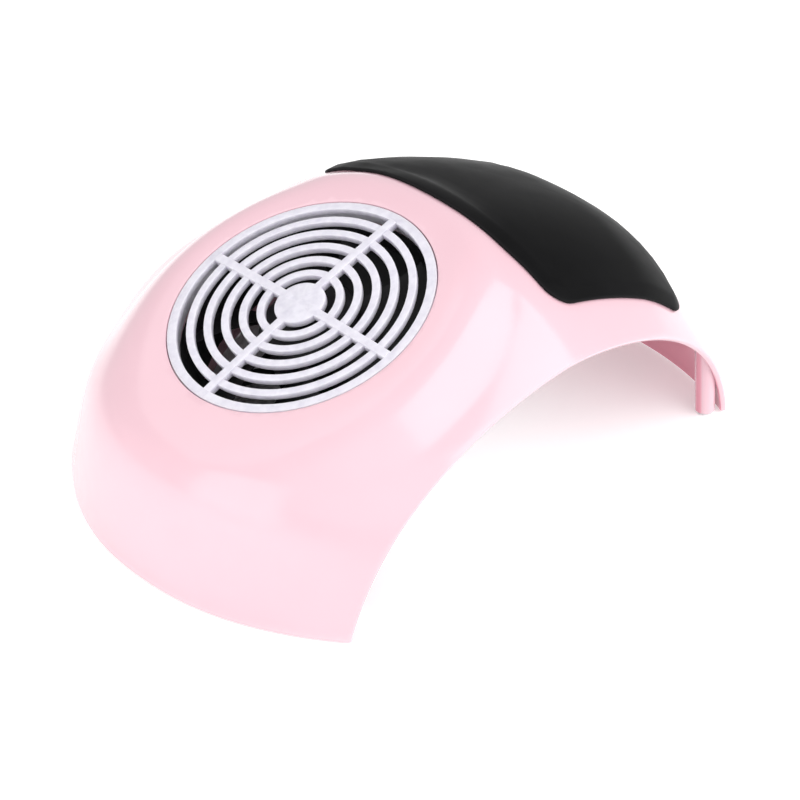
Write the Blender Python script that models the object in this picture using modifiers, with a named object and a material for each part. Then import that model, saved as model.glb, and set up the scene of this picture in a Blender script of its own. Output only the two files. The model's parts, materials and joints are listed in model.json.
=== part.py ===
"""Desk-top nail dust collector: an arched one-piece shell with a fan behind a round grille and a
palm rest over its rear half.  Metres, +Z up.  The origin is on the table under the middle of the
footprint; +X runs from the fan end to the palm-rest end."""
import math

import bmesh
import bpy
from mathutils import Matrix, Vector

MM = 0.001

# --- overall shape of the shell (x measured from the front corners, y from the middle line) ---
CHORD_X = -101.4 * MM        # front corners of the shell
CHORD_LENGTH = 217.5 * MM    # front corners to rear corners
FRONT_HALF_WIDTH = 87.4 * MM
REAR_HALF_WIDTH = 69.2 * MM
SIDE_BULGE = 11.8 * MM       # how far the sides swell beyond the straight taper
SIDE_BULGE_BIAS = 0.5        # the swelling is fuller toward the fan
FOOT_PROUD = 0.8 * MM        # rubber feet lift the shell this much
WALL = 2.5 * MM
FRONT_FULLNESS = 4.2         # exponent of the cross-section at the fan end
REAR_FULLNESS = 2.2          # and at the palm-rest end
PLAN_FULLNESS = 2.2          # exponent of the bowed front and rear edges

# --- fan ---
FAN_X = 53.6 * MM            # centre of the grille, measured from the front corners
FAN_Z = 88.4 * MM
FAN_TILT = math.radians(20.7)
FLAT_RADIUS = 60 * MM        # the shell is flat out to here
BLEND_WIDTH = 26 * MM        # and eases into the arch over this width
SEAT_RADIUS = 55.3 * MM      # recess that the grille lies in
SEAT_DEPTH = 3.2 * MM
THROAT_RADIUS = 52.6 * MM    # opening below the recess
RING_RADIUS = 58.5 * MM      # seat ring under the shell
RING_INNER = 50 * MM         # bored out to the throat afterwards
RING_TOP = 1.2 * MM          # all depths are measured down from the grille plane
RING_DEPTH = 8.7 * MM
BOSS_RADIUS = 4 * MM
BOSS_DEPTH = 9.0 * MM
THROAT_CUT = 12 * MM
LUG_RADIUS = 62.0 * MM       # fan screw circle
SCREW_HOLE = 1.7 * MM

# --- grille ---
GRILLE_RADIUS = 54.9 * MM
GRILLE_RIM = 2.9 * MM        # thickness of the rim that rests in the seat
BAR_THICKNESS = 2.5 * MM
DOME = 1.3 * MM              # the middle stands this much higher than the rim
SKIRT_OUTER = 52.3 * MM      # the skirt clips into the throat
SKIRT_INNER = 51.5 * MM
SKIRT_DEPTH = 6 * MM
SLOT_ROWS = 6
SLOT_PITCH = 7.3 * MM
SLOT_FIRST = 12.5 * MM       # middle of the innermost slot
SLOT_WIDTH = 4.1 * MM
SPOKE_WIDTH = 3.8 * MM
SPOKE_RISE = 0.6 * MM        # spokes and hub disc stand proud of the rings

# --- fan and motor, depths below the grille plane ---
FRAME_TOP = 9.3 * MM
FRAME_BOTTOM = 35.0 * MM
FRAME_OUTER = 55.5 * MM
FRAME_INNER = 52.5 * MM
LUG_SIZE = (14 * MM, 9 * MM, 3 * MM)
STRUT_SIZE = (36 * MM, 5 * MM, 3.2 * MM)
STRUT_RADIUS = 36 * MM       # middle of each strut
CUP_RADIUS = 21 * MM
CUP_TOP = 30.4 * MM
CUP_FLOOR = 32.6 * MM
CUP_WALL = 1.8 * MM
TUBE_OUTER = 7 * MM          # bearing tube in the middle of the cup
TUBE_INNER = 5.3 * MM
TUBE_TOP = 14 * MM
HUB_RADIUS = 20.5 * MM
HUB_TOP = 7.5 * MM
HUB_BOTTOM = 27.5 * MM
HUB_CEILING = 9.8 * MM
HUB_BORE = 18.6 * MM
BLADE_RADIUS = 49.8 * MM
BLADE_COUNT = 7
BLADE_MIDDLE = 17.5 * MM
SHAFT_RADIUS = 1.5 * MM
SHAFT_TOP = 9.4 * MM
SHAFT_BOTTOM = 31.6 * MM
BEARING_LENGTH = 4 * MM
STATOR_MIDDLE = 21 * MM
STATOR_HEIGHT = 8 * MM
STATOR_POLES = 4
BOARD_TOP = 30.4 * MM
BOARD_BOTTOM = 31.8 * MM

# --- dust outlet and bag ---
COLLAR_OUTER = 58 * MM
COLLAR_TOP = 27 * MM
COLLAR_BOTTOM = 41.0 * MM
COLLAR_LIP = 59.2 * MM
BAND_TOP = 36.6 * MM
BAND_INNER = 61 * MM
BAND_OUTER = 62.6 * MM
BAND_WIDTH = 3 * MM
MOUTH_OUTER = 60.7 * MM      # cloth of the mouth, between the lip and the band
MOUTH_INNER = 59.6 * MM
BAG_MIDDLE = (113 * MM, 42 * MM)       # x from the front corners, height above the shell's edge
BAG_HALF = (80 * MM, 49 * MM, 23 * MM)
BAG_TILT = math.radians(8)
BAG_FULLNESS = 2.6           # exponent of the bag's rounded-rectangle outline

# --- palm rest, in the shell's own (along, across) coordinates ---
PAD_FRONT = 0.551
PAD_REAR = 0.815
PAD_SIDE = 0.842
PAD_FLARE = 0.03             # the pad widens toward the rear by this share
PAD_CORNER_U = 0.028
PAD_CORNER_V = 0.10
PAD_THICKNESS = 2.8 * MM
PAD_ROOT = 1.2 * MM          # the blank starts this far inside the shell before it is cut to fit
PAD_SCREW_HOLE = 1.6 * MM
GAP = 0.3 * MM               # clearance between neighbouring pieces

# --- feet ---
POST_RADIUS = 4.0 * MM
POSTS = [(12, 70), (211, 63)]          # (x, |y|) in millimetres from the front corners
FOOT_RADIUS = 3.2 * MM
FOOT_SOCKET = 1.6 * MM

# --- rear wall fittings, in the shell's own coordinates ---
SWITCH_AT = (0.93, 0.30)
SWITCH_BODY = (19 * MM, 13 * MM, 14 * MM)
SWITCH_FLANGE = (22 * MM, 16 * MM, 1.4 * MM)
SWITCH_WELL = (16 * MM, 10 * MM, 10 * MM)
SWITCH_PLATE = (24 * MM, 18 * MM, 4.4 * MM)
ROCKER_HALF_WIDTH = 4.6 * MM
ROCKER_SIDE = [(-7.3, -2.2), (7.3, -2.2), (7.3, 1.6), (0, 0.4), (-7.3, 2.9)]      # millimetres
ROCKER_LIFT = 0.6 * MM       # pivot above the shell's surface
JACK_AT = (0.945, -0.30)
JACK_RADIUS = 5.5 * MM
JACK_FLANGE = 7.2 * MM
JACK_BORE = 2.9 * MM
JACK_LENGTH = 11 * MM
LEAD_RADIUS = 1.0 * MM


# ------------------------------------------------------------------ materials and objects
def make_material(name, colour, roughness, metallic=0.0):
    mat = bpy.data.materials.new(name)
    mat.use_nodes = True
    bsdf = mat.node_tree.nodes["Principled BSDF"]
    bsdf.inputs["Base Color"].default_value = (*colour, 1.0)
    bsdf.inputs["Roughness"].default_value = roughness
    bsdf.inputs["Metallic"].default_value = metallic
    return mat


def clear_file():
    for obj in list(bpy.data.objects):
        bpy.data.objects.remove(obj)


clear_file()
PARTS = bpy.data.collections.new("nail_dust_collector")
CUTTERS = bpy.data.collections.new("cutters")
bpy.context.scene.collection.children.link(PARTS)
bpy.context.scene.collection.children.link(CUTTERS)

LOOKS = {
    "shell": ((0.96, 0.70, 0.76), 0.18, 0.0),
    "pad": ((0.02, 0.02, 0.022), 0.42, 0.0),
    "grille": ((0.80, 0.78, 0.86), 0.35, 0.0),
    "fan_plastic": ((0.03, 0.03, 0.032), 0.5, 0.0),
    "collar": ((0.86, 0.55, 0.62), 0.35, 0.0),
    "steel": ((0.60, 0.60, 0.62), 0.3, 1.0),
    "magnet": ((0.09, 0.08, 0.08), 0.6, 0.0),
    "copper": ((0.72, 0.33, 0.16), 0.35, 1.0),
    "board": ((0.05, 0.22, 0.10), 0.5, 0.0),
    "rubber": ((0.85, 0.83, 0.84), 0.8, 0.0),
    "band": ((0.86, 0.85, 0.86), 0.8, 0.0),
    "bag": ((0.90, 0.89, 0.90), 0.9, 0.0),
    "switch": ((0.04, 0.04, 0.045), 0.3, 0.0),
    "lead_red": ((0.55, 0.04, 0.04), 0.45, 0.0),
    "lead_black": ((0.03, 0.03, 0.03), 0.45, 0.0),
}


def link(obj, look=None, cutter=False):
    """File the object under the parts or the cutters and give it its own material."""
    if cutter:
        CUTTERS.objects.link(obj)
        obj.hide_render = True
        obj.display_type = "WIRE"
    else:
        PARTS.objects.link(obj)
        obj.data.materials.append(make_material(obj.name + "_material", *LOOKS[look]))
    return obj


def smooth(obj, on=True):
    for poly in obj.data.polygons:
        poly.use_smooth = on
    return obj


def from_bmesh(bm, name, look=None, cutter=False, matrix=None):
    bmesh.ops.recalc_face_normals(bm, faces=bm.faces)
    mesh = bpy.data.meshes.new(name)
    bm.to_mesh(mesh)
    bm.free()
    obj = bpy.data.objects.new(name, mesh)
    if matrix is not None:
        obj.matrix_world = matrix
    return link(obj, look, cutter)


def boolean(obj, other, operation):
    mod = obj.modifiers.new(operation.lower() + "_" + other.name, "BOOLEAN")
    mod.object = other
    mod.operation = operation
    mod.solver = "EXACT"


def cylinder(name, radius, top, bottom, segments=32, look=None, matrix=None):
    """Upright cylinder between two heights; a cutter when no look is given."""
    bm = bmesh.new()
    bmesh.ops.create_cone(bm, cap_ends=True, segments=segments, radius1=radius, radius2=radius,
                          depth=top - bottom,
                          matrix=Matrix.Translation((0, 0, (top + bottom) / 2)))
    return from_bmesh(bm, name, look, look is None, matrix)


def block(name, size, centre=(0, 0, 0), look=None, matrix=None):
    bm = bmesh.new()
    bmesh.ops.create_cube(bm, size=1.0,
                          matrix=Matrix.Translation(centre) @ Matrix.Diagonal((*size, 1.0)))
    return from_bmesh(bm, name, look, look is None, matrix)


def turned(name, profile, segments=48, look=None, matrix=None, closed=True):
    """Turn a profile of (radius, height) points, listed down the outer side, about Z."""
    mesh = bpy.data.meshes.new(name)
    verts = [(radius, 0.0, height) for radius, height in profile]
    edges = [(i, i + 1) for i in range(len(verts) - 1)]
    if closed:
        edges.append((len(verts) - 1, 0))
    mesh.from_pydata(verts, edges, [])
    obj = bpy.data.objects.new(name, mesh)
    if matrix is not None:
        obj.matrix_world = matrix
    screw = obj.modifiers.new("turn", "SCREW")
    screw.steps = segments
    screw.render_steps = segments
    screw.use_merge_vertices = True
    screw.merge_threshold = 0.00001
    screw.use_smooth_shade = False
    return link(obj, look, look is None)


def bevel(obj, width, segments=1, angle=50):
    mod = obj.modifiers.new("edges", "BEVEL")
    mod.width = width
    mod.segments = segments
    mod.limit_method = "ANGLE"
    mod.angle_limit = math.radians(angle)
    return obj


# ------------------------------------------------------------------ the shell's surface
def bezier(p0, p1, p2, p3, t):
    s = 1 - t
    return tuple(s ** 3 * a + 3 * s * s * t * b + 3 * s * t * t * c + t ** 3 * d
                 for a, b, c, d in zip(p0, p1, p2, p3))


def fan_plane(x):
    """Height of the grille plane at distance x from the front corners, in millimetres."""
    return FAN_Z / MM + (x - FAN_X / MM) * math.tan(FAN_TILT)


def sample_chain(points, per_segment=80):
    """Bezier chain in (x, z), returned as a list of (share of arc length, x, z)."""
    path = []
    for start in range(0, len(points) - 3, 3):
        for k in range(per_segment):
            path.append(bezier(*points[start:start + 4], k / per_segment))
    path.append(points[-1])
    lengths = [0.0]
    for a, b in zip(path, path[1:]):
        lengths.append(lengths[-1] + math.dist(a, b))
    return [(length / lengths[-1], x, z) for length, (x, z) in zip(lengths, path)]


# side rim of the shell: corner, arch and rear corner (millimetres)
RIM = sample_chain([(0, 0), (16.2, 49.3), (55.5, 77.5), (112, 75.1),
                    (135, 74.1), (213.6, 54.3), (217.5, 0)])
# middle line: bowed front, flat run under the grille, crown, rounded rear (millimetres)
SPINE = sample_chain([(-30.6, 0), (-30.6, 56), (-27.8, fan_plane(-27.8)), (2.2, fan_plane(2.2)),
                      (36, fan_plane(36)), (70, fan_plane(70)), (104, fan_plane(104)),
                      (110.5, fan_plane(110.5)), (144.7, 106.4), (180, 89.9),
                      (194.7, 83.0), (231.6, 49), (231.6, 0)])


def along(path, share):
    """Point of a sampled path at a share of its length."""
    low, high = 0, len(path) - 1
    while high - low > 1:
        mid = (low + high) // 2
        if path[mid][0] <= share:
            low = mid
        else:
            high = mid
    a, b = path[low], path[high]
    t = (share - a[0]) / (b[0] - a[0])
    return a[1] + (b[1] - a[1]) * t, a[2] + (b[2] - a[2]) * t


def half_width(x):
    t = min(max(x * MM / CHORD_LENGTH, 0.0), 1.0)
    straight = FRONT_HALF_WIDTH + (REAR_HALF_WIDTH - FRONT_HALF_WIDTH) * t
    return straight + SIDE_BULGE * 4 * t * (1 - t) * (1 + SIDE_BULGE_BIAS * (1 - 2 * t))


def shell_point(u, v):
    """Outer surface: u runs 0..1 from front to rear ground edge, v -1..1 from rim to rim."""
    u = min(max(u, 0.0), 1.0)
    rim_x, rim_z = along(RIM, u)
    mid_x, mid_z = along(SPINE, u)
    fullness = FRONT_FULLNESS + (REAR_FULLNESS - FRONT_FULLNESS) * u
    x = (rim_x + (mid_x - rim_x) * (1 - abs(v) ** PLAN_FULLNESS)) * MM
    z = (rim_z + (mid_z - rim_z) * (1 - abs(v) ** fullness)) * MM
    y = half_width(rim_x) * v
    # ease the arch into the flat seat round the grille
    reach = math.hypot((x - FAN_X) / math.cos(FAN_TILT), y)
    t = min(max((reach - FLAT_RADIUS) / BLEND_WIDTH, 0.0), 1.0)
    share = t * t * (3 - 2 * t)
    z = fan_plane(x / MM) * MM * (1 - share) + z * share
    return Vector((CHORD_X + x, y, FOOT_PROUD + z))


def shell_normal(u, v):
    step = 0.004
    du = shell_point(u + step, v) - shell_point(u - step, v)
    dv = shell_point(u, v + step) - shell_point(u, v - step)
    return du.cross(dv).normalized()


def shell_frame(u, v, turn=0.0):
    """Frame on the outer surface: local Z outward, local Y across the body."""
    normal = shell_normal(u, v)
    across = (Vector((0, 1, 0)) - normal * normal.y).normalized()
    down = across.cross(normal)
    axes = Matrix((down, across, normal)).transposed().to_4x4()
    return Matrix.Translation(shell_point(u, v)) @ axes @ Matrix.Rotation(turn, 4, "Z")


def shell_height(x, y):
    """Height of the outer surface above a point of the table (world metres)."""
    low, high = 0.0, 1.0
    for _ in range(40):
        u = (low + high) / 2
        rim_x, _rim_z = along(RIM, u)
        v = min(max(y / half_width(rim_x), -1.0), 1.0)
        if shell_point(u, v).x < x:
            low = u
        else:
            high = u
    return shell_point(u, v).z


FAN = Matrix.Translation((CHORD_X + FAN_X, 0, FOOT_PROUD + FAN_Z)) @ Matrix.Rotation(-FAN_TILT, 4, "Y")


def in_fan(depth=0.0, radius=0.0, angle=0.0):
    """Frame in the fan: depth below the grille plane, then out to a radius at an angle."""
    return (FAN @ Matrix.Translation((0, 0, -depth)) @ Matrix.Rotation(angle, 4, "Z")
            @ Matrix.Translation((radius, 0, 0)))


QUARTERS = [math.radians(45 + 90 * k) for k in range(4)]
CORNERS = [(CHORD_X + x * MM, side * y * MM) for x, y in POSTS for side in (-1, 1)]
PAD_SCREWS = [(PAD_FRONT + 0.05, -0.62), (PAD_FRONT + 0.05, 0.62),
              (PAD_REAR - 0.05, -0.60), (PAD_REAR - 0.05, 0.60)]


# ------------------------------------------------------------------ shell
def shell_sheet(name):
    """The shell's outer surface as an open grid."""
    rows, columns = 30, 22
    bm = bmesh.new()
    grid = []
    for i in range(rows + 1):
        # both ground edges reach below the cut, so that the bearing edge comes out flat
        drop = Vector((0, 0, -6 * MM if i in (0, rows) else 0))
        grid.append([bm.verts.new(shell_point(i / rows, 2 * j / columns - 1) + drop)
                     for j in range(columns + 1)])
    for lower, upper in zip(grid, grid[1:]):
        for j in range(columns):
            bm.faces.new((lower[j], upper[j], upper[j + 1], lower[j + 1]))
    mesh = bpy.data.meshes.new(name)
    bm.normal_update()
    if sum(face.normal.z for face in bm.faces) < 0:
        bmesh.ops.reverse_faces(bm, faces=bm.faces)
    bm.to_mesh(mesh)
    bm.free()
    return bpy.data.objects.new(name, mesh)


def thicken(obj, inside, outside):
    """Give the sheet a wall reaching this far inside and outside its surface."""
    mod = obj.modifiers.new("wall", "SOLIDIFY")
    mod.thickness = inside + outside
    mod.offset = 2 * outside / (inside + outside) - 1
    mod.use_even_offset = True
    return obj


def foot_post(name, x, y):
    """Moulded post: flat at the foot, its top buried in the wall above it."""
    segments = 20
    bm = bmesh.new()
    low, high = [], []
    for k in range(segments):
        angle = 2 * math.pi * k / segments
        px = x + POST_RADIUS * math.cos(angle)
        py = y + POST_RADIUS * math.sin(angle)
        low.append(bm.verts.new((px, py, FOOT_PROUD)))
        high.append(bm.verts.new((px, py, shell_height(px, py) - 0.6 * WALL)))
    bottom = bm.verts.new((x, y, FOOT_PROUD))
    top = bm.verts.new((x, y, shell_height(x, y) - 0.6 * WALL))
    for k in range(segments):
        n = (k + 1) % segments
        bm.faces.new((low[k], low[n], high[n], high[k]))
        bm.faces.new((low[n], low[k], bottom))
        bm.faces.new((high[k], high[n], top))
    return from_bmesh(bm, name, cutter=True)


def build_shell():
    shell = link(shell_sheet("top_shell"), "shell")
    smooth(shell)
    thicken(shell, WALL, 0)
    bevel(shell, 0.6 * MM, 1, 50)

    for k, (x, y) in enumerate(CORNERS):
        boolean(shell, foot_post(f"post_{k + 1}", x, y), "UNION")
    # the ring and the seat cutter are turned slightly, so that their facets never coincide
    ring = turned("seat_ring", [(RING_RADIUS, -RING_TOP), (RING_RADIUS, -RING_DEPTH),
                                (RING_INNER, -RING_DEPTH), (RING_INNER, -RING_TOP)], 64,
                  matrix=in_fan(0, 0, math.radians(0.7)))
    boolean(shell, ring, "UNION")
    for k, angle in enumerate(QUARTERS):
        boss = cylinder(f"fan_boss_{k + 1}", BOSS_RADIUS, -1.5 * MM, -BOSS_DEPTH, 20,
                        matrix=in_fan(0, LUG_RADIUS, angle))
        boolean(shell, boss, "UNION")
    switch_place = shell_frame(*SWITCH_AT, math.pi / 2)
    jack_place = shell_frame(*JACK_AT)
    plate = block("switch_plate", SWITCH_PLATE, (0, 0, -1.4 * MM), matrix=switch_place)
    boolean(shell, plate, "UNION")
    jack_boss = cylinder("jack_boss", JACK_FLANGE + 0.8 * MM, 0.8 * MM, -3.6 * MM, 32,
                         matrix=jack_place)
    boolean(shell, jack_boss, "UNION")

    above = 8 * MM
    seat = turned("seat_cut", [(0, above), (SEAT_RADIUS, above), (SEAT_RADIUS, -SEAT_DEPTH),
                               (THROAT_RADIUS, -SEAT_DEPTH), (THROAT_RADIUS, -THROAT_CUT),
                               (0, -THROAT_CUT)], 72,
                  matrix=in_fan(0, 0, math.radians(1.3)), closed=False)
    boolean(shell, seat, "DIFFERENCE")
    for k, angle in enumerate(QUARTERS):
        hole = cylinder(f"boss_hole_{k + 1}", SCREW_HOLE, -3.5 * MM, -THROAT_CUT, 12,
                        matrix=in_fan(0, LUG_RADIUS, angle))
        boolean(shell, hole, "DIFFERENCE")
    for k, (u, v) in enumerate(PAD_SCREWS):
        hole = cylinder(f"pad_screw_hole_{k + 1}", PAD_SCREW_HOLE, 3 * MM, -6 * MM, 12,
                        matrix=shell_frame(u, v))
        boolean(shell, hole, "DIFFERENCE")
    opening = (SWITCH_BODY[0] + 2 * GAP, SWITCH_BODY[1] + 2 * GAP, 20 * MM)
    boolean(shell, block("switch_cut", opening, matrix=switch_place), "DIFFERENCE")
    jack_cut = cylinder("jack_cut", JACK_RADIUS + GAP, above, -above, 32, matrix=jack_place)
    boolean(shell, jack_cut, "DIFFERENCE")
    for k, (x, y) in enumerate(CORNERS):
        socket = cylinder(f"foot_socket_{k + 1}", FOOT_RADIUS + 0.2 * MM, FOOT_PROUD + FOOT_SOCKET,
                          -2 * MM, 20, matrix=Matrix.Translation((x, y, 0)))
        boolean(shell, socket, "DIFFERENCE")
    boolean(shell, block("ground_cut", (0.4, 0.3, 0.04), (0, 0, FOOT_PROUD - 0.02)), "DIFFERENCE")


def build_feet():
    for k, (x, y) in enumerate(CORNERS):
        cylinder(f"rubber_foot_{k + 1}", FOOT_RADIUS, FOOT_PROUD + FOOT_SOCKET - GAP, 0, 16,
                 "rubber", Matrix.Translation((x, y, 0)))


# ------------------------------------------------------------------ palm rest
def pad_outline(side_points=7, corner_points=5):
    """Rounded rectangle in the shell's own coordinates, as offsets from its middle."""
    u_half = (PAD_REAR - PAD_FRONT) / 2
    points = []
    for quarter, (u_sign, v_sign) in enumerate(((1, 1), (-1, 1), (-1, -1), (1, -1))):
        start = quarter * math.pi / 2
        for k in range(corner_points + 1):
            angle = start + math.pi / 2 * k / corner_points
            points.append((u_sign * (u_half - PAD_CORNER_U) + PAD_CORNER_U * math.cos(angle),
                           v_sign * (PAD_SIDE - PAD_CORNER_V) + PAD_CORNER_V * math.sin(angle)))
    # points along the straight sides, so that the pad follows the curved shell
    filled = []
    for (u0, v0), (u1, v1) in zip(points, points[1:] + points[:1]):
        steps = side_points if max(abs(u1 - u0), abs(v1 - v0)) > 2 * PAD_CORNER_U else 1
        filled += [(u0 + (u1 - u0) * k / steps, v0 + (v1 - v0) * k / steps) for k in range(steps)]
    return filled


def build_palm_rest():
    """Cover that follows the shell, its border rounded down to the shell."""
    outline = pad_outline()
    spokes = len(outline)
    u_mid = (PAD_FRONT + PAD_REAR) / 2
    u_half = (PAD_REAR - PAD_FRONT) / 2
    rings = [0.25, 0.5, 0.75, 0.93, 0.98, 1.0]
    lifts = [1.0, 1.0, 1.0, 0.97, 0.78, 0.40]     # share of the full thickness
    bm = bmesh.new()

    def lifted(reach, offset, height):
        u = u_mid + reach * offset[0]
        v = reach * offset[1] * (1 + PAD_FLARE * offset[0] / u_half)
        return bm.verts.new(shell_point(u, v) + shell_normal(u, v) * height)

    top_mid = lifted(0, outline[0], GAP + PAD_THICKNESS)
    low_mid = lifted(0, outline[0], -PAD_ROOT)
    top = [[lifted(reach, offset, GAP + PAD_THICKNESS * lift) for offset in outline]
           for reach, lift in zip(rings, lifts)]
    low = [[lifted(reach, offset, -PAD_ROOT) for offset in outline] for reach in rings]
    for k in range(spokes):
        n = (k + 1) % spokes
        bm.faces.new((top_mid, top[0][k], top[0][n]))
        bm.faces.new((low_mid, low[0][n], low[0][k]))
        for inner, outer in zip(top, top[1:]):
            bm.faces.new((inner[k], outer[k], outer[n], inner[n]))
        for inner, outer in zip(low, low[1:]):
            bm.faces.new((inner[n], outer[n], outer[k], inner[k]))
        bm.faces.new((top[-1][k], low[-1][k], low[-1][n], top[-1][n]))
    pad = smooth(from_bmesh(bm, "palm_rest", "pad"))
    seat = thicken(link(shell_sheet("palm_seat"), cutter=True), 5 * MM, GAP)
    boolean(pad, seat, "DIFFERENCE")
    for k, (u, v) in enumerate(PAD_SCREWS):
        hole = cylinder(f"pad_socket_{k + 1}", PAD_SCREW_HOLE, 2.4 * MM, -3 * MM, 12,
                        matrix=shell_frame(u, v))
        boolean(pad, hole, "DIFFERENCE")


def screw(name, head_radius, head_height, shank_radius, shank_length, matrix):
    """Pan-head screw: the head hangs below the frame's origin, the shank points up."""
    turned(name, [(0, shank_length), (shank_radius * 0.6, shank_length),
                  (shank_radius, shank_length - 0.6 * MM), (shank_radius, 0), (head_radius, 0),
                  (head_radius, -head_height * 0.5), (head_radius * 0.6, -head_height),
                  (0, -head_height)], 12, "steel", matrix, closed=False)


def build_pad_screws():
    for k, (u, v) in enumerate(PAD_SCREWS):
        seat = shell_frame(u, v) @ Matrix.Translation((0, 0, -WALL - GAP - 0.5 * MM))
        screw(f"palm_screw_{k + 1}", 3.0 * MM, 2.0 * MM, 1.25 * MM, WALL + 2.6 * MM, seat)


# ------------------------------------------------------------------ grille
def slot_points(middle, quadrant):
    """One arc slot with ends parallel to its two spokes."""
    points = []
    steps = 4 + int(middle / (10 * MM))
    for radius, forward in ((middle - SLOT_WIDTH / 2, True), (middle + SLOT_WIDTH / 2, False)):
        start = math.asin(SPOKE_WIDTH / 2 / radius)
        stop = math.pi / 2 - start
        arc = [start + (stop - start) * k / steps for k in range(steps + 1)]
        if not forward:
            arc.reverse()
        points += [(radius * math.cos(a + quadrant), radius * math.sin(a + quadrant)) for a in arc]
    return points


def slot_cutter():
    """All the arc slots as prisms taller than the grille."""
    top_height = DOME + 2 * MM
    low_height = -BAR_THICKNESS - 2 * MM
    bm = bmesh.new()
    for row in range(SLOT_ROWS):
        for quadrant in range(4):
            outline = slot_points(SLOT_FIRST + SLOT_PITCH * row, quadrant * math.pi / 2)
            top = [bm.verts.new((x, y, top_height)) for x, y in outline]
            low = [bm.verts.new((x, y, low_height)) for x, y in outline]
            half = len(outline) // 2
            for k in range(len(outline)):
                n = (k + 1) % len(outline)
                bm.faces.new((low[k], low[n], top[n], top[k]))
            for k in range(half - 1):
                bm.faces.new((top[k], top[k + 1], top[-k - 2], top[-k - 1]))
                bm.faces.new((low[k + 1], low[k], low[-k - 1], low[-k - 2]))
    return from_bmesh(bm, "slots", cutter=True, matrix=FAN)


def dome_height(radius):
    """Height of the rings above the grille plane."""
    return DOME * (1 - (radius / GRILLE_RADIUS) ** 2)


def build_grille():
    """Domed disc of rings and spokes with a skirt below its rim."""
    # the dome bends along the middles of the bars
    bars = [SLOT_FIRST + SLOT_PITCH * (row - 0.5) for row in range(SLOT_ROWS)]
    top = [(0, DOME)] + [(radius, dome_height(radius)) for radius in bars] + [(GRILLE_RADIUS, 0)]
    skirt = [(GRILLE_RADIUS, -GRILLE_RIM), (SKIRT_OUTER, -GRILLE_RIM), (SKIRT_OUTER, -SKIRT_DEPTH),
             (SKIRT_INNER, -SKIRT_DEPTH), (SKIRT_INNER, dome_height(SKIRT_INNER) - BAR_THICKNESS)]
    under = [(radius, dome_height(radius) - BAR_THICKNESS) for radius in reversed(bars)]
    grille = turned("fan_grille", top + skirt + under + [(0, DOME - BAR_THICKNESS)], 72, "grille",
                    FAN, closed=False)
    hub = cylinder("grille_hub", SLOT_FIRST - SLOT_WIDTH / 2 - 0.2 * MM, DOME + SPOKE_RISE, 0, 40,
                   matrix=FAN)
    boolean(grille, hub, "UNION")
    inner, outer = bars[0], SLOT_FIRST + SLOT_PITCH * (SLOT_ROWS - 0.5)
    slope = math.atan2(dome_height(inner) - dome_height(outer), outer - inner)
    height = (dome_height(inner) + dome_height(outer)) / 2 + SPOKE_RISE - SPOKE_WIDTH / 4
    for k in range(4):
        place = in_fan(-height, (inner + outer) / 2, k * math.pi / 2)
        bar = block(f"spoke_{k + 1}", (outer - inner, SPOKE_WIDTH - 0.4 * MM, SPOKE_WIDTH / 2),
                    matrix=place @ Matrix.Rotation(slope, 4, "Y"))
        boolean(grille, bar, "UNION")
    boolean(grille, slot_cutter(), "DIFFERENCE")


# ------------------------------------------------------------------ fan
def build_fan_frame():
    """Round housing with lugs at the top and four struts to the motor cup."""
    frame = turned("fan_frame", [(FRAME_OUTER, -FRAME_TOP), (FRAME_OUTER, -FRAME_BOTTOM),
                                 (FRAME_INNER, -FRAME_BOTTOM), (FRAME_INNER, -FRAME_TOP)],
                   48, "fan_plastic", FAN)
    lug_centre = (-2.5 * MM, 0, -FRAME_TOP - LUG_SIZE[2] / 2)
    strut_centre = (0, 0, -FRAME_BOTTOM + STRUT_SIZE[2] / 2 + 0.1 * MM)
    for k, angle in enumerate(QUARTERS):
        lug = block(f"lug_{k + 1}", LUG_SIZE, lug_centre, matrix=in_fan(0, LUG_RADIUS, angle))
        boolean(frame, lug, "UNION")
        strut = block(f"strut_{k + 1}", STRUT_SIZE, strut_centre,
                      matrix=in_fan(0, STRUT_RADIUS, angle))
        boolean(frame, strut, "UNION")
    cup_bottom = FRAME_BOTTOM - 0.2 * MM
    cup_inner = CUP_RADIUS - CUP_WALL
    cup = turned("motor_cup", [(CUP_RADIUS, -CUP_TOP), (CUP_RADIUS, -cup_bottom), (0, -cup_bottom),
                               (0, -CUP_FLOOR), (cup_inner, -CUP_FLOOR), (cup_inner, -CUP_TOP)],
                 40, matrix=FAN)
    boolean(frame, cup, "UNION")
    tube_bottom = CUP_FLOOR + 0.8 * MM
    tube = turned("bearing_tube", [(TUBE_OUTER, -TUBE_TOP), (TUBE_OUTER, -tube_bottom),
                                   (TUBE_INNER, -tube_bottom), (TUBE_INNER, -TUBE_TOP)],
                  24, matrix=FAN)
    boolean(frame, tube, "UNION")
    for k, angle in enumerate(QUARTERS):
        hole = cylinder(f"lug_hole_{k + 1}", SCREW_HOLE, -FRAME_TOP + 1.3 * MM,
                        -FRAME_TOP - LUG_SIZE[2] - 1.7 * MM, 12, matrix=in_fan(0, LUG_RADIUS, angle))
        boolean(frame, hole, "DIFFERENCE")


def build_fan_screws():
    for k, angle in enumerate(QUARTERS):
        seat = in_fan(FRAME_TOP + LUG_SIZE[2] + GAP, LUG_RADIUS, angle)
        screw(f"fan_screw_{k + 1}", 3.2 * MM, 2.2 * MM, 1.4 * MM, 7.5 * MM, seat)


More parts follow.
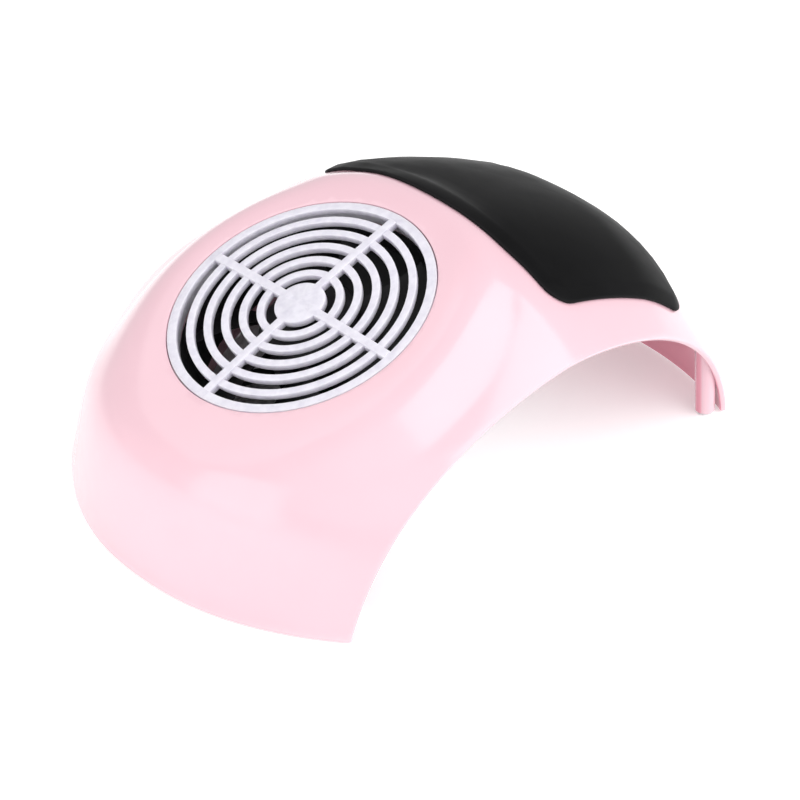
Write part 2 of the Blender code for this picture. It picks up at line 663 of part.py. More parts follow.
def blade_row(start, share, side, chord_steps):
    """Points across one blade at a share of its span, on its upper (1) or lower (-1) face."""
    root = HUB_RADIUS - 1.2 * MM
    radius = root + (BLADE_RADIUS - root) * share
    sweep = math.radians(14) * share
    half_angle = math.radians(20 - 2 * share)
    rise = (8.2 - 2.6 * share) * MM
    camber = 1.2 * MM
    half_thickness = 0.75 * MM
    row = []
    for j in range(chord_steps + 1):
        s = 2 * j / chord_steps - 1
        angle = start + sweep + half_angle * s
        height = -BLADE_MIDDLE + rise * s + camber * s * s + side * half_thickness
        row.append((radius * math.cos(angle), radius * math.sin(angle), height))
    return row


def blade_tool():
    """All the blades as closed twisted plates, their roots buried in the hub."""
    stations, chord_steps = 4, 3
    bm = bmesh.new()
    for number in range(BLADE_COUNT):
        start = 2 * math.pi * number / BLADE_COUNT
        upper, lower = [[[bm.verts.new(point)
                          for point in blade_row(start, i / stations, side, chord_steps)]
                         for i in range(stations + 1)] for side in (1, -1)]
        for i in range(stations):
            for j in range(chord_steps):
                bm.faces.new((upper[i][j], upper[i + 1][j], upper[i + 1][j + 1], upper[i][j + 1]))
                bm.faces.new((lower[i][j + 1], lower[i + 1][j + 1], lower[i + 1][j], lower[i][j]))
        border = ([(i, 0) for i in range(stations)] + [(stations, j) for j in range(chord_steps)]
                  + [(i, chord_steps) for i in range(stations, 0, -1)]
                  + [(0, j) for j in range(chord_steps, 0, -1)])
        for (i, j), (p, q) in zip(border, border[1:] + border[:1]):
            bm.faces.new((upper[i][j], lower[i][j], lower[p][q], upper[p][q]))
    return from_bmesh(bm, "blades", cutter=True, matrix=FAN)


def build_impeller():
    chamfer = 2 * MM
    boss_radius, boss_bottom = 4 * MM, 12.5 * MM       # boss that grips the shaft
    bore = SHAFT_RADIUS + GAP
    bore_top = SHAFT_TOP - 0.4 * MM
    hub = turned("impeller", [(0, -HUB_TOP), (HUB_RADIUS - chamfer, -HUB_TOP),
                              (HUB_RADIUS, -HUB_TOP - chamfer), (HUB_RADIUS, -HUB_BOTTOM),
                              (HUB_BORE, -HUB_BOTTOM), (HUB_BORE, -HUB_CEILING),
                              (boss_radius, -HUB_CEILING), (boss_radius, -boss_bottom),
                              (bore, -boss_bottom), (bore, -bore_top), (0, -bore_top)],
                 48, "fan_plastic", FAN, closed=False)
    boolean(hub, blade_tool(), "UNION")


def tube(name, outer, inner, top, bottom, segments, look):
    """Plain ring in the fan between two depths."""
    turned(name, [(outer, -top), (outer, -bottom), (inner, -bottom), (inner, -top)],
           segments, look, FAN)


def build_rotor():
    """Shaft, clip, and the steel yoke and magnet inside the hub."""
    cylinder("motor_shaft", SHAFT_RADIUS, -SHAFT_TOP, -SHAFT_BOTTOM, 20, "steel", FAN)
    tube("retaining_clip", 3.6 * MM, 1.7 * MM, 30.1 * MM, 30.7 * MM, 20, "steel")
    yoke_radius = HUB_BORE - GAP
    yoke_wall = 1.0 * MM
    magnet_radius = yoke_radius - yoke_wall - GAP
    magnet_wall = 2.2 * MM
    rotor_bottom = HUB_BOTTOM - 0.5 * MM
    tube("rotor_yoke", yoke_radius, yoke_radius - yoke_wall, 10.2 * MM, rotor_bottom, 40, "steel")
    tube("rotor_magnet", magnet_radius, magnet_radius - magnet_wall, 12 * MM, rotor_bottom, 40,
         "magnet")


def build_bearings():
    for name, top in (("bearing_upper", 14.6 * MM), ("bearing_lower", 25.6 * MM)):
        tube(name, TUBE_INNER - GAP, SHAFT_RADIUS + GAP, top, top + BEARING_LENGTH, 24, "steel")


def build_stator():
    """Core round the bearing tube: an arm and a pole shoe behind each coil."""
    top = STATOR_MIDDLE - STATOR_HEIGHT / 2
    core = turned("stator_core", [(9 * MM, -top), (9 * MM, -top - STATOR_HEIGHT),
                                  (TUBE_OUTER + GAP, -top - STATOR_HEIGHT),
                                  (TUBE_OUTER + GAP, -top)], 32, "steel", FAN)
    arm_height = STATOR_HEIGHT - 0.4 * MM
    arm_radius, shoe_radius = 10.8 * MM, 13.0 * MM
    for k in range(STATOR_POLES):
        angle = 2 * math.pi * k / STATOR_POLES
        arm_place = in_fan(STATOR_MIDDLE, arm_radius, angle)
        arm = block(f"stator_arm_{k + 1}", (5.4 * MM, 3 * MM, arm_height), matrix=arm_place)
        boolean(core, arm, "UNION")
        shoe = block(f"pole_shoe_{k + 1}", (1.2 * MM, 10 * MM, arm_height),
                     matrix=in_fan(STATOR_MIDDLE, shoe_radius, angle))
        boolean(core, shoe, "UNION")
        coil = block(f"stator_coil_{k + 1}", (2.4 * MM, 8 * MM, 12.6 * MM), look="copper",
                     matrix=arm_place)
        window = (6 * MM, 3 * MM + 2 * GAP, arm_height + 2 * GAP)
        boolean(coil, block(f"coil_window_{k + 1}", window, matrix=arm_place), "DIFFERENCE")


def build_motor_board():
    tube("motor_board", 17 * MM, TUBE_OUTER + 0.4 * MM, BOARD_TOP, BOARD_BOTTOM, 32, "board")


# ------------------------------------------------------------------ dust outlet
def build_outlet():
    """Collar round the fan housing; its lip holds the bag."""
    lip_top = COLLAR_BOTTOM - 1.2 * MM
    bore, shelf = 53 * MM, FRAME_BOTTOM + GAP          # the housing stands on an inner shelf
    turned("outlet_collar", [(COLLAR_OUTER, -COLLAR_TOP), (COLLAR_OUTER, -lip_top + 0.4 * MM),
                             (COLLAR_LIP, -lip_top), (COLLAR_LIP, -COLLAR_BOTTOM),
                             (bore, -COLLAR_BOTTOM), (bore, -shelf),
                             (FRAME_OUTER + GAP, -shelf), (FRAME_OUTER + GAP, -COLLAR_TOP)],
           40, "collar", FAN)


def bag_body():
    """Filled bag: a soft flattened pillow under the arch."""
    bm = bmesh.new()
    bmesh.ops.create_uvsphere(bm, u_segments=28, v_segments=14, radius=1.0)
    for vert in bm.verts:
        x, y, z = vert.co
        rounded = (abs(x) ** BAG_FULLNESS + abs(y) ** BAG_FULLNESS) ** (1 / BAG_FULLNESS)
        scale = math.hypot(x, y) / rounded if rounded > 1e-9 else 1.0
        vert.co = (x * scale * BAG_HALF[0], y * scale * BAG_HALF[1], z * BAG_HALF[2])
    place = (Matrix.Translation((CHORD_X + BAG_MIDDLE[0], 0, FOOT_PROUD + BAG_MIDDLE[1]))
             @ Matrix.Rotation(-BAG_TILT, 4, "Y"))
    return from_bmesh(bm, "bag_body", cutter=True, matrix=place)


def build_bag():
    """Mouth of the bag round the collar, running into the filled body."""
    hem = BAND_TOP - 0.6 * MM
    inside = COLLAR_BOTTOM + GAP
    funnel = [(MOUTH_OUTER, -43 * MM), (52 * MM, -50 * MM), (30 * MM, -56 * MM), (0, -57 * MM)]
    bag = turned("dust_bag", [(MOUTH_OUTER, -hem)] + funnel
                 + [(0, -inside), (MOUTH_INNER, -inside), (MOUTH_INNER, -hem)], 40, "bag", FAN)
    boolean(bag, bag_body(), "UNION")


def build_band():
    tube("bag_band", BAND_OUTER, BAND_INNER, BAND_TOP, BAND_TOP + BAND_WIDTH, 40, "band")


# ------------------------------------------------------------------ switch, jack and leads
def build_switch():
    """Housing with a flange on the wall and a well for the rocker."""
    place = shell_frame(*SWITCH_AT, math.pi / 2)
    housing = block("switch_housing", SWITCH_BODY, (0, 0, -5 * MM), "switch", place)
    flange = block("switch_flange", SWITCH_FLANGE, (0, 0, 1.8 * MM), matrix=place)
    boolean(housing, flange, "UNION")
    boolean(housing, block("switch_well", SWITCH_WELL, matrix=place), "DIFFERENCE")


def build_rocker():
    """Rocker: two slopes meeting over the pivot, turning about its local Y axis."""
    place = shell_frame(*SWITCH_AT, math.pi / 2) @ Matrix.Translation((0, 0, ROCKER_LIFT))
    bm = bmesh.new()
    near = [bm.verts.new((x * MM, -ROCKER_HALF_WIDTH, z * MM)) for x, z in ROCKER_SIDE]
    far = [bm.verts.new((x * MM, ROCKER_HALF_WIDTH, z * MM)) for x, z in ROCKER_SIDE]
    bm.faces.new(near)
    bm.faces.new(list(reversed(far)))
    for k in range(len(near)):
        n = (k + 1) % len(near)
        bm.faces.new((near[k], far[k], far[n], near[n]))
    bevel(from_bmesh(bm, "switch_rocker", "switch", matrix=place), 0.4 * MM)


def build_jack():
    """Round power inlet with a pin in its bore."""
    place = shell_frame(*JACK_AT)
    face, seat, bore_bottom = 2.4 * MM, 1.1 * MM, 8 * MM
    turned("power_jack", [(JACK_FLANGE, face), (JACK_FLANGE, seat), (JACK_RADIUS, seat),
                          (JACK_RADIUS, -JACK_LENGTH), (0, -JACK_LENGTH), (0, -bore_bottom),
                          (JACK_BORE, -bore_bottom), (JACK_BORE, face)], 28, "switch", place)
    cylinder("jack_pin", 0.9 * MM, 1.0 * MM, -bore_bottom + GAP, 12, "steel", place)


def tube_along(name, points, radius, look):
    curve = bpy.data.curves.new(name, "CURVE")
    curve.dimensions = "3D"
    curve.bevel_depth = radius
    curve.bevel_resolution = 2
    curve.use_fill_caps = True
    spline = curve.splines.new("POLY")
    spline.points.add(len(points) - 1)
    for point, co in zip(spline.points, points):
        point.co = (*co, 1)
    link(bpy.data.objects.new(name, curve), look)


def rounded_path(knots, steps=5):
    """Catmull-Rom curve through the knots, as a list of points."""
    padded = [2 * knots[0] - knots[1]] + knots + [2 * knots[-1] - knots[-2]]
    points = []
    for a, b, c, d in zip(padded, padded[1:], padded[2:], padded[3:]):
        for k in range(steps):
            t = k / steps
            points.append(0.5 * (2 * b + (c - a) * t + (2 * a - 5 * b + 4 * c - d) * t * t
                                 + (3 * b - a - 3 * c + d) * t ** 3))
    return points + [knots[-1]]


def build_leads():
    """Two leads under the crown of the arch, from the fan to the switch and to the jack."""
    for name, side, fitting, back in (("lead_red", 1, SWITCH_AT, 12 * MM),
                                      ("lead_black", -1, JACK_AT, 11 * MM)):
        lane = side * 5 * MM
        knots = [FAN @ Vector((FRAME_OUTER + GAP + LEAD_RADIUS, lane, -19 * MM)),
                 FAN @ Vector((FRAME_OUTER + 8 * MM, lane, -18 * MM))]
        first, last, clear = 0.56, fitting[0] - 0.04, 13 * MM
        for t in (0.25, 0.5, 0.75):
            u, v = first + (last - first) * t, fitting[1] * t
            knots.append(shell_point(u, v) - shell_normal(u, v) * clear)
        rear = shell_frame(*fitting)
        knots.append(rear @ Vector((-6 * MM, 0, -back - 9 * MM)))
        knots.append(rear @ Vector((0, 0, -back - GAP - 0.2 * MM)))
        tube_along(name, rounded_path(knots), LEAD_RADIUS, name)


def build_all():
    build_shell()
    build_feet()
    build_palm_rest()
    build_pad_screws()
    build_grille()
    build_fan_frame()
    build_fan_screws()
    build_impeller()
    build_rotor()
    build_bearings()
    build_stator()
    build_motor_board()
    build_outlet()
    build_bag()
    build_band()
    build_switch()
    build_rocker()
    build_jack()
    build_leads()


build_all()
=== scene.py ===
"""Looks for the nail dust collector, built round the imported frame.

The shell, palm rest, grille, fan, outlet, bag, switch and power inlet are rebuilt at full detail
where the frame has them; screws, motor parts, leads and feet are the frame's own nodes.
"""
import bisect
import itertools
import json
from math import asin, atan2, cos, dist, hypot, pi, radians, sin, sqrt, tan

import bmesh
import bpy
from mathutils import Matrix, Vector, noise
from mathutils.bvhtree import BVHTree


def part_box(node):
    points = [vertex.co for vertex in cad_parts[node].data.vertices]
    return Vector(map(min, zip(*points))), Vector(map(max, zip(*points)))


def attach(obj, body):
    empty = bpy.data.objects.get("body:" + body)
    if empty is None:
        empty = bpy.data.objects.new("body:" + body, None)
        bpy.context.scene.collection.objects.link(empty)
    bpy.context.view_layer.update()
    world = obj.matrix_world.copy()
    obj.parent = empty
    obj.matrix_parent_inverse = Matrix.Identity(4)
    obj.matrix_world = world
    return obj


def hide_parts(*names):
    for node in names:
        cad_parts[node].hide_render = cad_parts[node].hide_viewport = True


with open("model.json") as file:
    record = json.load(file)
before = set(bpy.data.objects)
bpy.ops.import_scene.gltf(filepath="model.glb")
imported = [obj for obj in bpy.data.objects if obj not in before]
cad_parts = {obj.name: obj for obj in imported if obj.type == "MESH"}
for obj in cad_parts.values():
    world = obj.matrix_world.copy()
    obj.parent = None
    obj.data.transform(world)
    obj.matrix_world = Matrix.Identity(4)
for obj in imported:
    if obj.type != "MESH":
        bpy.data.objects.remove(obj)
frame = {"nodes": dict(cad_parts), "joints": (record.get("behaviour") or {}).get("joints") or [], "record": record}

move = Matrix.Translation


def turn(angle, axis):
    return Matrix.Rotation(angle, 4, axis)


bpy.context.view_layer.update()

# ---- sizes taken from the frame
SHELL_LOW, SHELL_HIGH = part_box("top_shell")
GRILLE_LOW, GRILLE_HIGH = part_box("fan_grille")
COLLAR_LOW, COLLAR_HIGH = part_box("outlet_collar")
SPIN = next(joint for joint in frame["joints"] if joint["name"] == "fan_spin")

DESIGN_WIDTH = 187.26  # width of the shell in design millimetres
MM = (SHELL_HIGH.y - SHELL_LOW.y) / DESIGN_WIDTH  # one design millimetre in metres
WELD = 1e-6  # points closer than this are one point
FRONT_BOW = 30.6 * MM  # the front wall bows this far past its corners
CHORD_X = SHELL_LOW.x + FRONT_BOW  # front corners of the shell
FOOT_PROUD = SHELL_LOW.z  # the shell stands this far off the table
FAN_CENTRE = Vector(SPIN["pos_m"])
FAN_AXIS = Vector(SPIN["axis"])
FAN_TILT = atan2(-FAN_AXIS.x, FAN_AXIS.z)
FAN = move(FAN_CENTRE) @ turn(-FAN_TILT, "Y")
FAN_X = FAN_CENTRE.x - CHORD_X
FAN_Z = FAN_CENTRE.z - FOOT_PROUD
GRILLE_RADIUS = (GRILLE_HIGH.y - GRILLE_LOW.y) / 2
LIP_RADIUS = (COLLAR_HIGH.y - COLLAR_LOW.y) / 2
QUARTERS = [radians(45 + 90 * k) for k in range(4)]

# ---- shape of the shell
CHORD_LENGTH = 217.5 * MM
FRONT_HALF_WIDTH = 87.4 * MM
REAR_HALF_WIDTH = 69.2 * MM
SIDE_BULGE = 11.8 * MM
SIDE_BULGE_BIAS = 0.5
WALL = 2.5 * MM
FRONT_FULLNESS = 4.2
REAR_FULLNESS = 2.2
PLAN_FULLNESS = 2.2
FLAT_RADIUS = 60 * MM
BLEND_WIDTH = 26 * MM
RIM_ROUND = 0.8 * MM
SEAT_RADIUS = GRILLE_RADIUS + 0.4 * MM
SEAT_DEPTH = 3.2 * MM
THROAT_RADIUS = 52.6 * MM
POST_RADIUS = 4.0 * MM
LUG_RADIUS = 62.0 * MM
SWITCH_AT = (0.93, 0.30)
JACK_AT = (0.945, -0.30)

# ---- shape of the palm rest
PAD_FRONT = 0.551
PAD_REAR = 0.815
PAD_SIDE = 0.842
PAD_FLARE = 0.03
PAD_CORNER_U = 0.028
PAD_CORNER_V = 0.10
PAD_THICKNESS = 2.8 * MM
SHELL_LENGTH = 330 * MM  # over the middle line, from ground edge to ground edge

# ---- shape of the grille and fan
GRILLE_RIM = 2.9 * MM  # thickness of the rim that rests in the seat
BAR_THICKNESS = 2.8 * MM
BAR_ROUND = 0.3 * MM
DOME = 1.3 * MM  # the middle stands this much higher than the rim
SKIRT_OUTER = 52.3 * MM
SKIRT_INNER = 51.5 * MM
SKIRT_DEPTH = 6 * MM
SLOT_ROWS = 6
SLOT_PITCH = 7.3 * MM
SLOT_FIRST = 12.5 * MM  # middle of the innermost slot
SLOT_WIDTH = 4.1 * MM
SPOKE_WIDTH = 3.8 * MM
SPOKE_RISE = 0.3 * MM  # spokes and hub disc stand proud of the rings
BLADE_RADIUS = 49.8 * MM
BLADE_COUNT = 7
COLLAR_BOTTOM = 41.0 * MM
BAND_TOP = 36.6 * MM
# these three in design millimetres
HUB_RADIUS = 20.5
FRAME_TOP = 9.3
FRAME_BOTTOM = 35.0

# ---- camera
CAMERA_TARGET = Vector((-0.02546, -0.03081, 0.05))
CAMERA_AZIMUTH = radians(-39.745)
CAMERA_ELEVATION = radians(32.272)
CAMERA_ROLL = radians(-2.195)
CAMERA_DISTANCE = 1.5393
CAMERA_LENS = 178.0

# ---- light
SKY_STRENGTH = 0.70
FLOOR_GLOW = 0.28
# place, point aimed at, (width, height), watts, spread in degrees
SOFTBOXES = {
    # beyond the arch, at the fan end, over the floor in front of it, behind the camera, overhead
    "side_softbox": ((0.42, -0.86, 0.78), (0.02, -0.07, 0.08), (1.4, 1.2), 10.5, 180),
    "front_softbox": ((-0.95, -0.05, 0.42), (-0.1, -0.02, 0.27), (0.74, 0.8), 2.4, 180),
    "floor_pool": ((-0.33, -0.04, 0.4), (-0.33, -0.04, 0), (0.2, 0.2), 0.10, 50),
    "camera_fill": ((-1.02, -1.22, 1.03), (0, 0, 0.05), (1.3, 1.3), 1.7, 180),
    "top_softbox": ((-0.3, 0.45, 1.1), (-0.05, 0, 0.08), (1.0, 1.0), 2.2, 180),
}


def assign(target, settings):
    for name, value in settings.items():
        setattr(target, name, value)


# ---- materials
class Look:
    """A Principled material, and short calls for the nodes that feed it."""

    def __init__(self, name, **fixed):
        self.material = bpy.data.materials.new(name)
        self.material.use_nodes = True
        self.tree = self.material.node_tree
        self.shader = self.tree.nodes["Principled BSDF"]
        self.feed(self.shader, {name.replace("_", " "): value for name, value in fixed.items()})
        coordinates = self.node("TexCoord")
        self.place = coordinates["Object"]
        self.facing = coordinates["Normal"]

    def feed(self, node, inputs):
        """Give inputs, named or numbered, a value or another node's output."""
        for name, value in inputs.items():
            if isinstance(value, bpy.types.NodeSocket):
                self.tree.links.new(value, node.inputs[name])
            else:
                node.inputs[name].default_value = value

    def node(self, kind, inputs=None, **settings):
        """The outputs of a new node."""
        node = self.tree.nodes.new("ShaderNode" + kind)
        assign(node, settings)
        self.feed(node, inputs or {})
        return node.outputs

    def stretch(self, x, y, z):
        """Coordinates stretched along the axes."""
        return self.node("Mapping", {"Scale": (x, y, z), "Vector": self.place})["Vector"]

    def noise(self, size, detail=2.0, place=None):
        """Soft noise whose features are about this many metres across."""
        return self.node("TexNoise", {"Scale": 1 / size, "Detail": detail,
                                      "Vector": place or self.place})["Fac"]

    def cells(self, size, feature="F1"):
        return self.node("TexVoronoi", {"Scale": 1 / size, "Vector": self.place},
                         feature=feature)["Distance"]

    def bands(self, size, distortion):
        """Stripes along Z, one to each size."""
        return self.node("TexWave", {"Scale": 0.314 / size, "Distortion": distortion,
                                     "Vector": self.place}, bands_direction="Z")["Fac"]

    def outward(self):
        """1 where the surface faces away from the middle line of the arch, -1 on its inside."""
        flat = self.node("VectorMath", {0: self.place, 1: (1, 0, 1)}, operation="MULTIPLY")[0]
        away = self.node("VectorMath", {0: flat}, operation="NORMALIZE")[0]
        dot = self.node("VectorMath", {0: away, 1: self.facing}, operation="DOT_PRODUCT")
        return dot["Value"]

    def ramp(self, source, low, high, start=0.3, stop=0.7):
        """Spread start..stop of the source over two colours."""
        node = self.tree.nodes.new("ShaderNodeValToRGB")
        first, last = node.color_ramp.elements
        first.position, last.position = start, stop
        first.color, last.color = (*low, 1), (*high, 1)
        self.feed(node, {"Fac": source})
        return node.outputs["Color"]

    def spread(self, source, low, high, start=0.3, stop=0.7):
        """Spread start..stop of the source over two numbers."""
        return self.node("MapRange", {"Value": source, "From Min": start, "From Max": stop,
                                      "To Min": low, "To Max": high})["Result"]

    def mix(self, factor, first, second):
        """First colour, shading to the second by a factor."""
        return self.node("Mix", {0: factor, 6: first, 7: (*second, 1)}, data_type="RGBA")[2]

    def worn(self, base, rubbed, most, start, stop):
        """Base colour, shading to a rubbed one on edges; start..stop is how convex they are."""
        convex = self.node("NewGeometry")["Pointiness"]
        return self.mix(self.spread(convex, 0.0, most, start, stop), base, rubbed)

    def add(self, first, second, share):
        """First plus a share of second."""
        return self.node("Math", {0: second, 1: share, 2: first},
                         operation="MULTIPLY_ADD")["Value"]

    def finish(self, colour, roughness, height, depth, strength=1.0):
        """Plug in colour, roughness and a bump this deep, and give back the material."""
        bump = self.node("Bump", {"Height": height, "Distance": depth, "Strength": strength})
        self.feed(self.shader, {"Base Color": colour, "Roughness": roughness,
                                "Normal": bump["Normal"]})
        return self.material


def scaled(colour, share):
    return tuple(channel * share for channel in colour)


def plastic(name, colour, roughness, edge=1.06, **fixed):
    """Moulded plastic: faint colour drift, rubbed edges, uneven gloss and a fine moulded grain."""
    look = Look(name, **fixed)
    drift = look.ramp(look.noise(28 * MM), scaled(colour, 0.965), colour)
    base = look.worn(drift, scaled(colour, edge), 0.7, 0.505, 0.56)
    gloss = look.spread(look.noise(9 * MM, 4.0), roughness * 0.88, roughness * 1.16)
    return look.finish(base, gloss, look.noise(0.4 * MM, 3.0), 0.01 * MM)


def metal(name, colour, roughness):
    """Plain metal with fine drawn lines along one axis."""
    look = Look(name, Metallic=1.0)
    lines = look.noise(2 * MM, 6.0, look.stretch(1, 1, 14))
    gloss = look.spread(lines, roughness * 0.8, roughness * 1.3)
    return look.finish(look.ramp(lines, scaled(colour, 0.82), colour), gloss, lines, 0.01 * MM, 0.6)


def bag_cloth():
    """White non-woven cloth: spot-welded dots, loose fibres and a little grey dust."""
    look = Look("bag_nonwoven", Sheen_Weight=0.3, Sheen_Roughness=0.5)
    fibres = look.noise(0.7 * MM, 5.0, look.stretch(1, 2.4, 1))
    dust = look.spread(look.noise(34 * MM, 5.0), 0.0, 0.35, 0.5, 0.8)
    clean = look.ramp(fibres, (0.78, 0.77, 0.79), (0.90, 0.89, 0.91))
    return look.finish(look.mix(dust, clean, (0.62, 0.59, 0.60)), look.spread(fibres, 0.82, 0.98),
                       look.add(fibres, look.cells(1.7 * MM), 1.4), 0.12 * MM)


def elastic_cloth():
    """Covered elastic: a fine weave."""
    look = Look("elastic_cover", Sheen_Weight=0.2)
    weave = look.noise(0.5 * MM, 4.0)
    return look.finish(look.ramp(weave, (0.70, 0.69, 0.71), (0.86, 0.85, 0.87)),
                       look.spread(weave, 0.7, 0.95), weave, 0.08 * MM)


def copper_wire():
    """Enamelled wire, wound in close turns."""
    look = Look("enamelled_copper", Metallic=1.0)
    turns = look.bands(0.5 * MM, 0.4)
    return look.finish(look.ramp(turns, (0.30, 0.10, 0.04), (0.80, 0.36, 0.16)),
                       look.spread(turns, 0.42, 0.24), turns, 0.12 * MM)


def circuit_board():
    """Green solder mask over a faint net of copper tracks."""
    look = Look("solder_mask", Coat_Weight=0.3)
    tracks = look.cells(3.0 * MM, "DISTANCE_TO_EDGE")
    return look.finish(look.ramp(tracks, (0.10, 0.34, 0.14), (0.02, 0.15, 0.06), 0.04, 0.09),
                       look.spread(tracks, 0.3, 0.42, 0.04, 0.09), tracks, 0.03 * MM)


def shell_plastic():
    """Glossy light pink: faint orange peel, polish marks, rubbed edges, a duller inside of the arch with painted
    shade (a deeper pink) on it.
    """
    pink = (0.80, 0.52, 0.585)
    look = Look("glossy_pink", IOR=1.5, Coat_Roughness=0.13)
    drift = look.ramp(look.noise(45 * MM), scaled(pink, 0.97), pink)
    outside = look.worn(drift, (0.86, 0.64, 0.69), 0.5, 0.51, 0.58)
    # inside of the arch: less coat and rougher, and painted shade, a deeper pink standing in for the shade and
    # pink bounce light under the arch
    inside = look.spread(look.outward(), 1.0, 0.0, -0.97, -0.88)
    look.feed(look.shader, {"Coat Weight": look.spread(inside, 0.55, 0.0, 0.0, 1.0)})
    smudge = look.spread(look.noise(14 * MM, 6.0, look.stretch(1, 1.8, 1)), 0.17, 0.24)
    peel = look.add(look.noise(1.6 * MM), look.noise(0.5 * MM), 0.3)
    # painted shade: the inside mask mixes in the deeper pink
    return look.finish(look.mix(inside, outside, (0.77, 0.33, 0.41)),
                       look.add(smudge, inside, 0.3), peel, 0.006 * MM, 0.5)


def pad_plastic():
    """Satin black soft-touch plastic: fine grain and faint palm marks."""
    look = Look("satin_black", IOR=1.10)
    marks = look.noise(18 * MM, 5.0)
    base = look.ramp(marks, (0.0050, 0.0050, 0.0053), (0.0075, 0.0075, 0.0080))
    return look.finish(look.worn(base, (0.022, 0.022, 0.023), 0.6, 0.51, 0.58),
                       look.spread(marks, 0.34, 0.42), look.noise(0.35 * MM), 0.01 * MM, 0.5)


def grille_plastic():
    """Satin pale lavender plastic with a faint mottle."""
    look = Look("satin_lavender", IOR=1.45, Subsurface_Weight=0.7, Subsurface_Scale=2.5 * MM,
                Subsurface_Radius=(1.0, 0.95, 1.0))
    mottle = look.noise(3.2 * MM, 6.0)
    base = look.ramp(mottle, (0.63, 0.61, 0.69), (0.73, 0.71, 0.78), 0.32, 0.62)
    return look.finish(look.worn(base, (0.77, 0.755, 0.81), 0.6, 0.51, 0.57),
                       look.spread(mottle, 0.3, 0.45),
                       look.add(mottle, look.noise(0.5 * MM), 0.3), 0.03 * MM, 0.5)


def ferrite():
    look = Look("ferrite", Specular_IOR_Level=0.3)
    grit = look.noise(0.5 * MM, 6.0)
    return look.finish(look.ramp(grit, (0.03, 0.028, 0.028), (0.085, 0.08, 0.08)),
                       look.spread(grit, 0.5, 0.75), grit, 0.05 * MM)


def rubber(name, colour, roughness):
    look = Look(name)
    bloom = look.noise(4 * MM, 5.0)
    dullness = look.spread(bloom, roughness * 0.85, roughness * 1.15)
    return look.finish(look.ramp(bloom, scaled(colour, 0.85), colour), dullness,
                       look.noise(0.3 * MM, 3.0), 0.03 * MM)


def ink():
    """Printed white marks, slightly worn."""
    look = Look("white_print")
    wear = look.noise(0.4 * MM, 4.0)
    return look.finish(look.ramp(wear, (0.55, 0.55, 0.55), (0.85, 0.85, 0.85), 0.25, 0.45),
                       look.spread(wear, 0.4, 0.6), wear, 0.01 * MM)


LOOKS = {
    "shell": shell_plastic(),
    "palm_rest": pad_plastic(),
    "grille": grille_plastic(),
    "fan_plastic": plastic("fan_black", (0.010, 0.010, 0.011), 0.5, edge=2.2,
                           Specular_IOR_Level=0.3),
    "impeller_plastic": plastic("impeller_black", (0.009, 0.009, 0.010), 0.45, edge=2.2,
                                Specular_IOR_Level=0.25),
    "collar": plastic("collar_pink", (0.84, 0.50, 0.58), 0.32),
    "bag_cloth": bag_cloth(),
    "bag_elastic": elastic_cloth(),
    "ferrite": ferrite(),
    "board": circuit_board(),
    "switch_plastic": plastic("switch_black", (0.020, 0.020, 0.022), 0.24, edge=2.0),
    "lead_red": rubber("insulation_red", (0.50, 0.03, 0.03), 0.45),
    "lead_black": rubber("insulation_black", (0.03, 0.03, 0.03), 0.45),
    "steel": metal("plain_steel", (0.62, 0.62, 0.64), 0.3),
    "foot_rubber": rubber("pale_rubber", (0.82, 0.80, 0.81), 0.75),
    "copper_wire": copper_wire(),
    "print": ink(),
}


# ---- making pieces
def mm(*values):
    """Design millimetres, or points given in them, as metres."""
    return tuple(mm(*value) if isinstance(value, tuple) else value * MM for value in values)


def polar(radius, angle, height=0.0):
    return radius * cos(angle), radius * sin(angle), height


def add_object(name, data, matrix=None):
    obj = bpy.data.objects.new(name, data)
    obj.matrix_world = matrix or Matrix.Identity(4)
    bpy.context.scene.collection.objects.link(obj)
    return obj


def new_object(name, verts, faces, matrix=None):
    mesh = bpy.data.meshes.new(name)
    mesh.from_pydata([tuple(v) for v in verts], [], faces)
    mesh.validate()
    bm = bmesh.new()
    bm.from_mesh(mesh)
    bmesh.ops.recalc_face_normals(bm, faces=bm.faces)
    bm.to_mesh(mesh)
    bm.free()
    return add_object(name, mesh, matrix)


def weld(mesh):
    """Merge the points that lie in one place."""
    bm = bmesh.new()
    bm.from_mesh(mesh)
    bmesh.ops.remove_doubles(bm, verts=bm.verts, dist=WELD)
    bm.to_mesh(mesh)
    bm.free()


def modify(obj, kind, **settings):
    """Give the object a modifier."""
    mod = obj.modifiers.new(kind.lower(), kind)
    assign(mod, settings)
    return mod


def bake(obj):
    """Turn the modifiers into mesh, with no two points in one place."""
    bpy.context.view_layer.update()
    graph = bpy.context.evaluated_depsgraph_get()
    mesh = bpy.data.meshes.new_from_object(obj.evaluated_get(graph))
    weld(mesh)
    obj.modifiers.clear()
    obj.data = mesh
    return obj


def combine(obj, others, operation):
    """Union with, or difference from, each of the others in turn; the others are used up."""
    for other in others:
        modify(obj, "BOOLEAN", object=other, operation=operation, solver="EXACT")
    bake(obj)
    for other in others:
        bpy.data.objects.remove(other)


def joined(name, objects):
    """One object from several that do not touch, in world places."""
    bm = bmesh.new()
    for obj in objects:
        mesh = obj.data.copy()
        mesh.transform(obj.matrix_world)
        bm.from_mesh(mesh)
        bpy.data.objects.remove(obj)
    mesh = bpy.data.meshes.new(name)
    bm.to_mesh(mesh)
    bm.free()
    return add_object(name, mesh)


def bevel(obj, width, segments=2, angle=40):
    """Round the edges sharper than this angle."""
    modify(obj, "BEVEL", width=width, segments=segments, limit_method="ANGLE",
           angle_limit=radians(angle))
    return obj


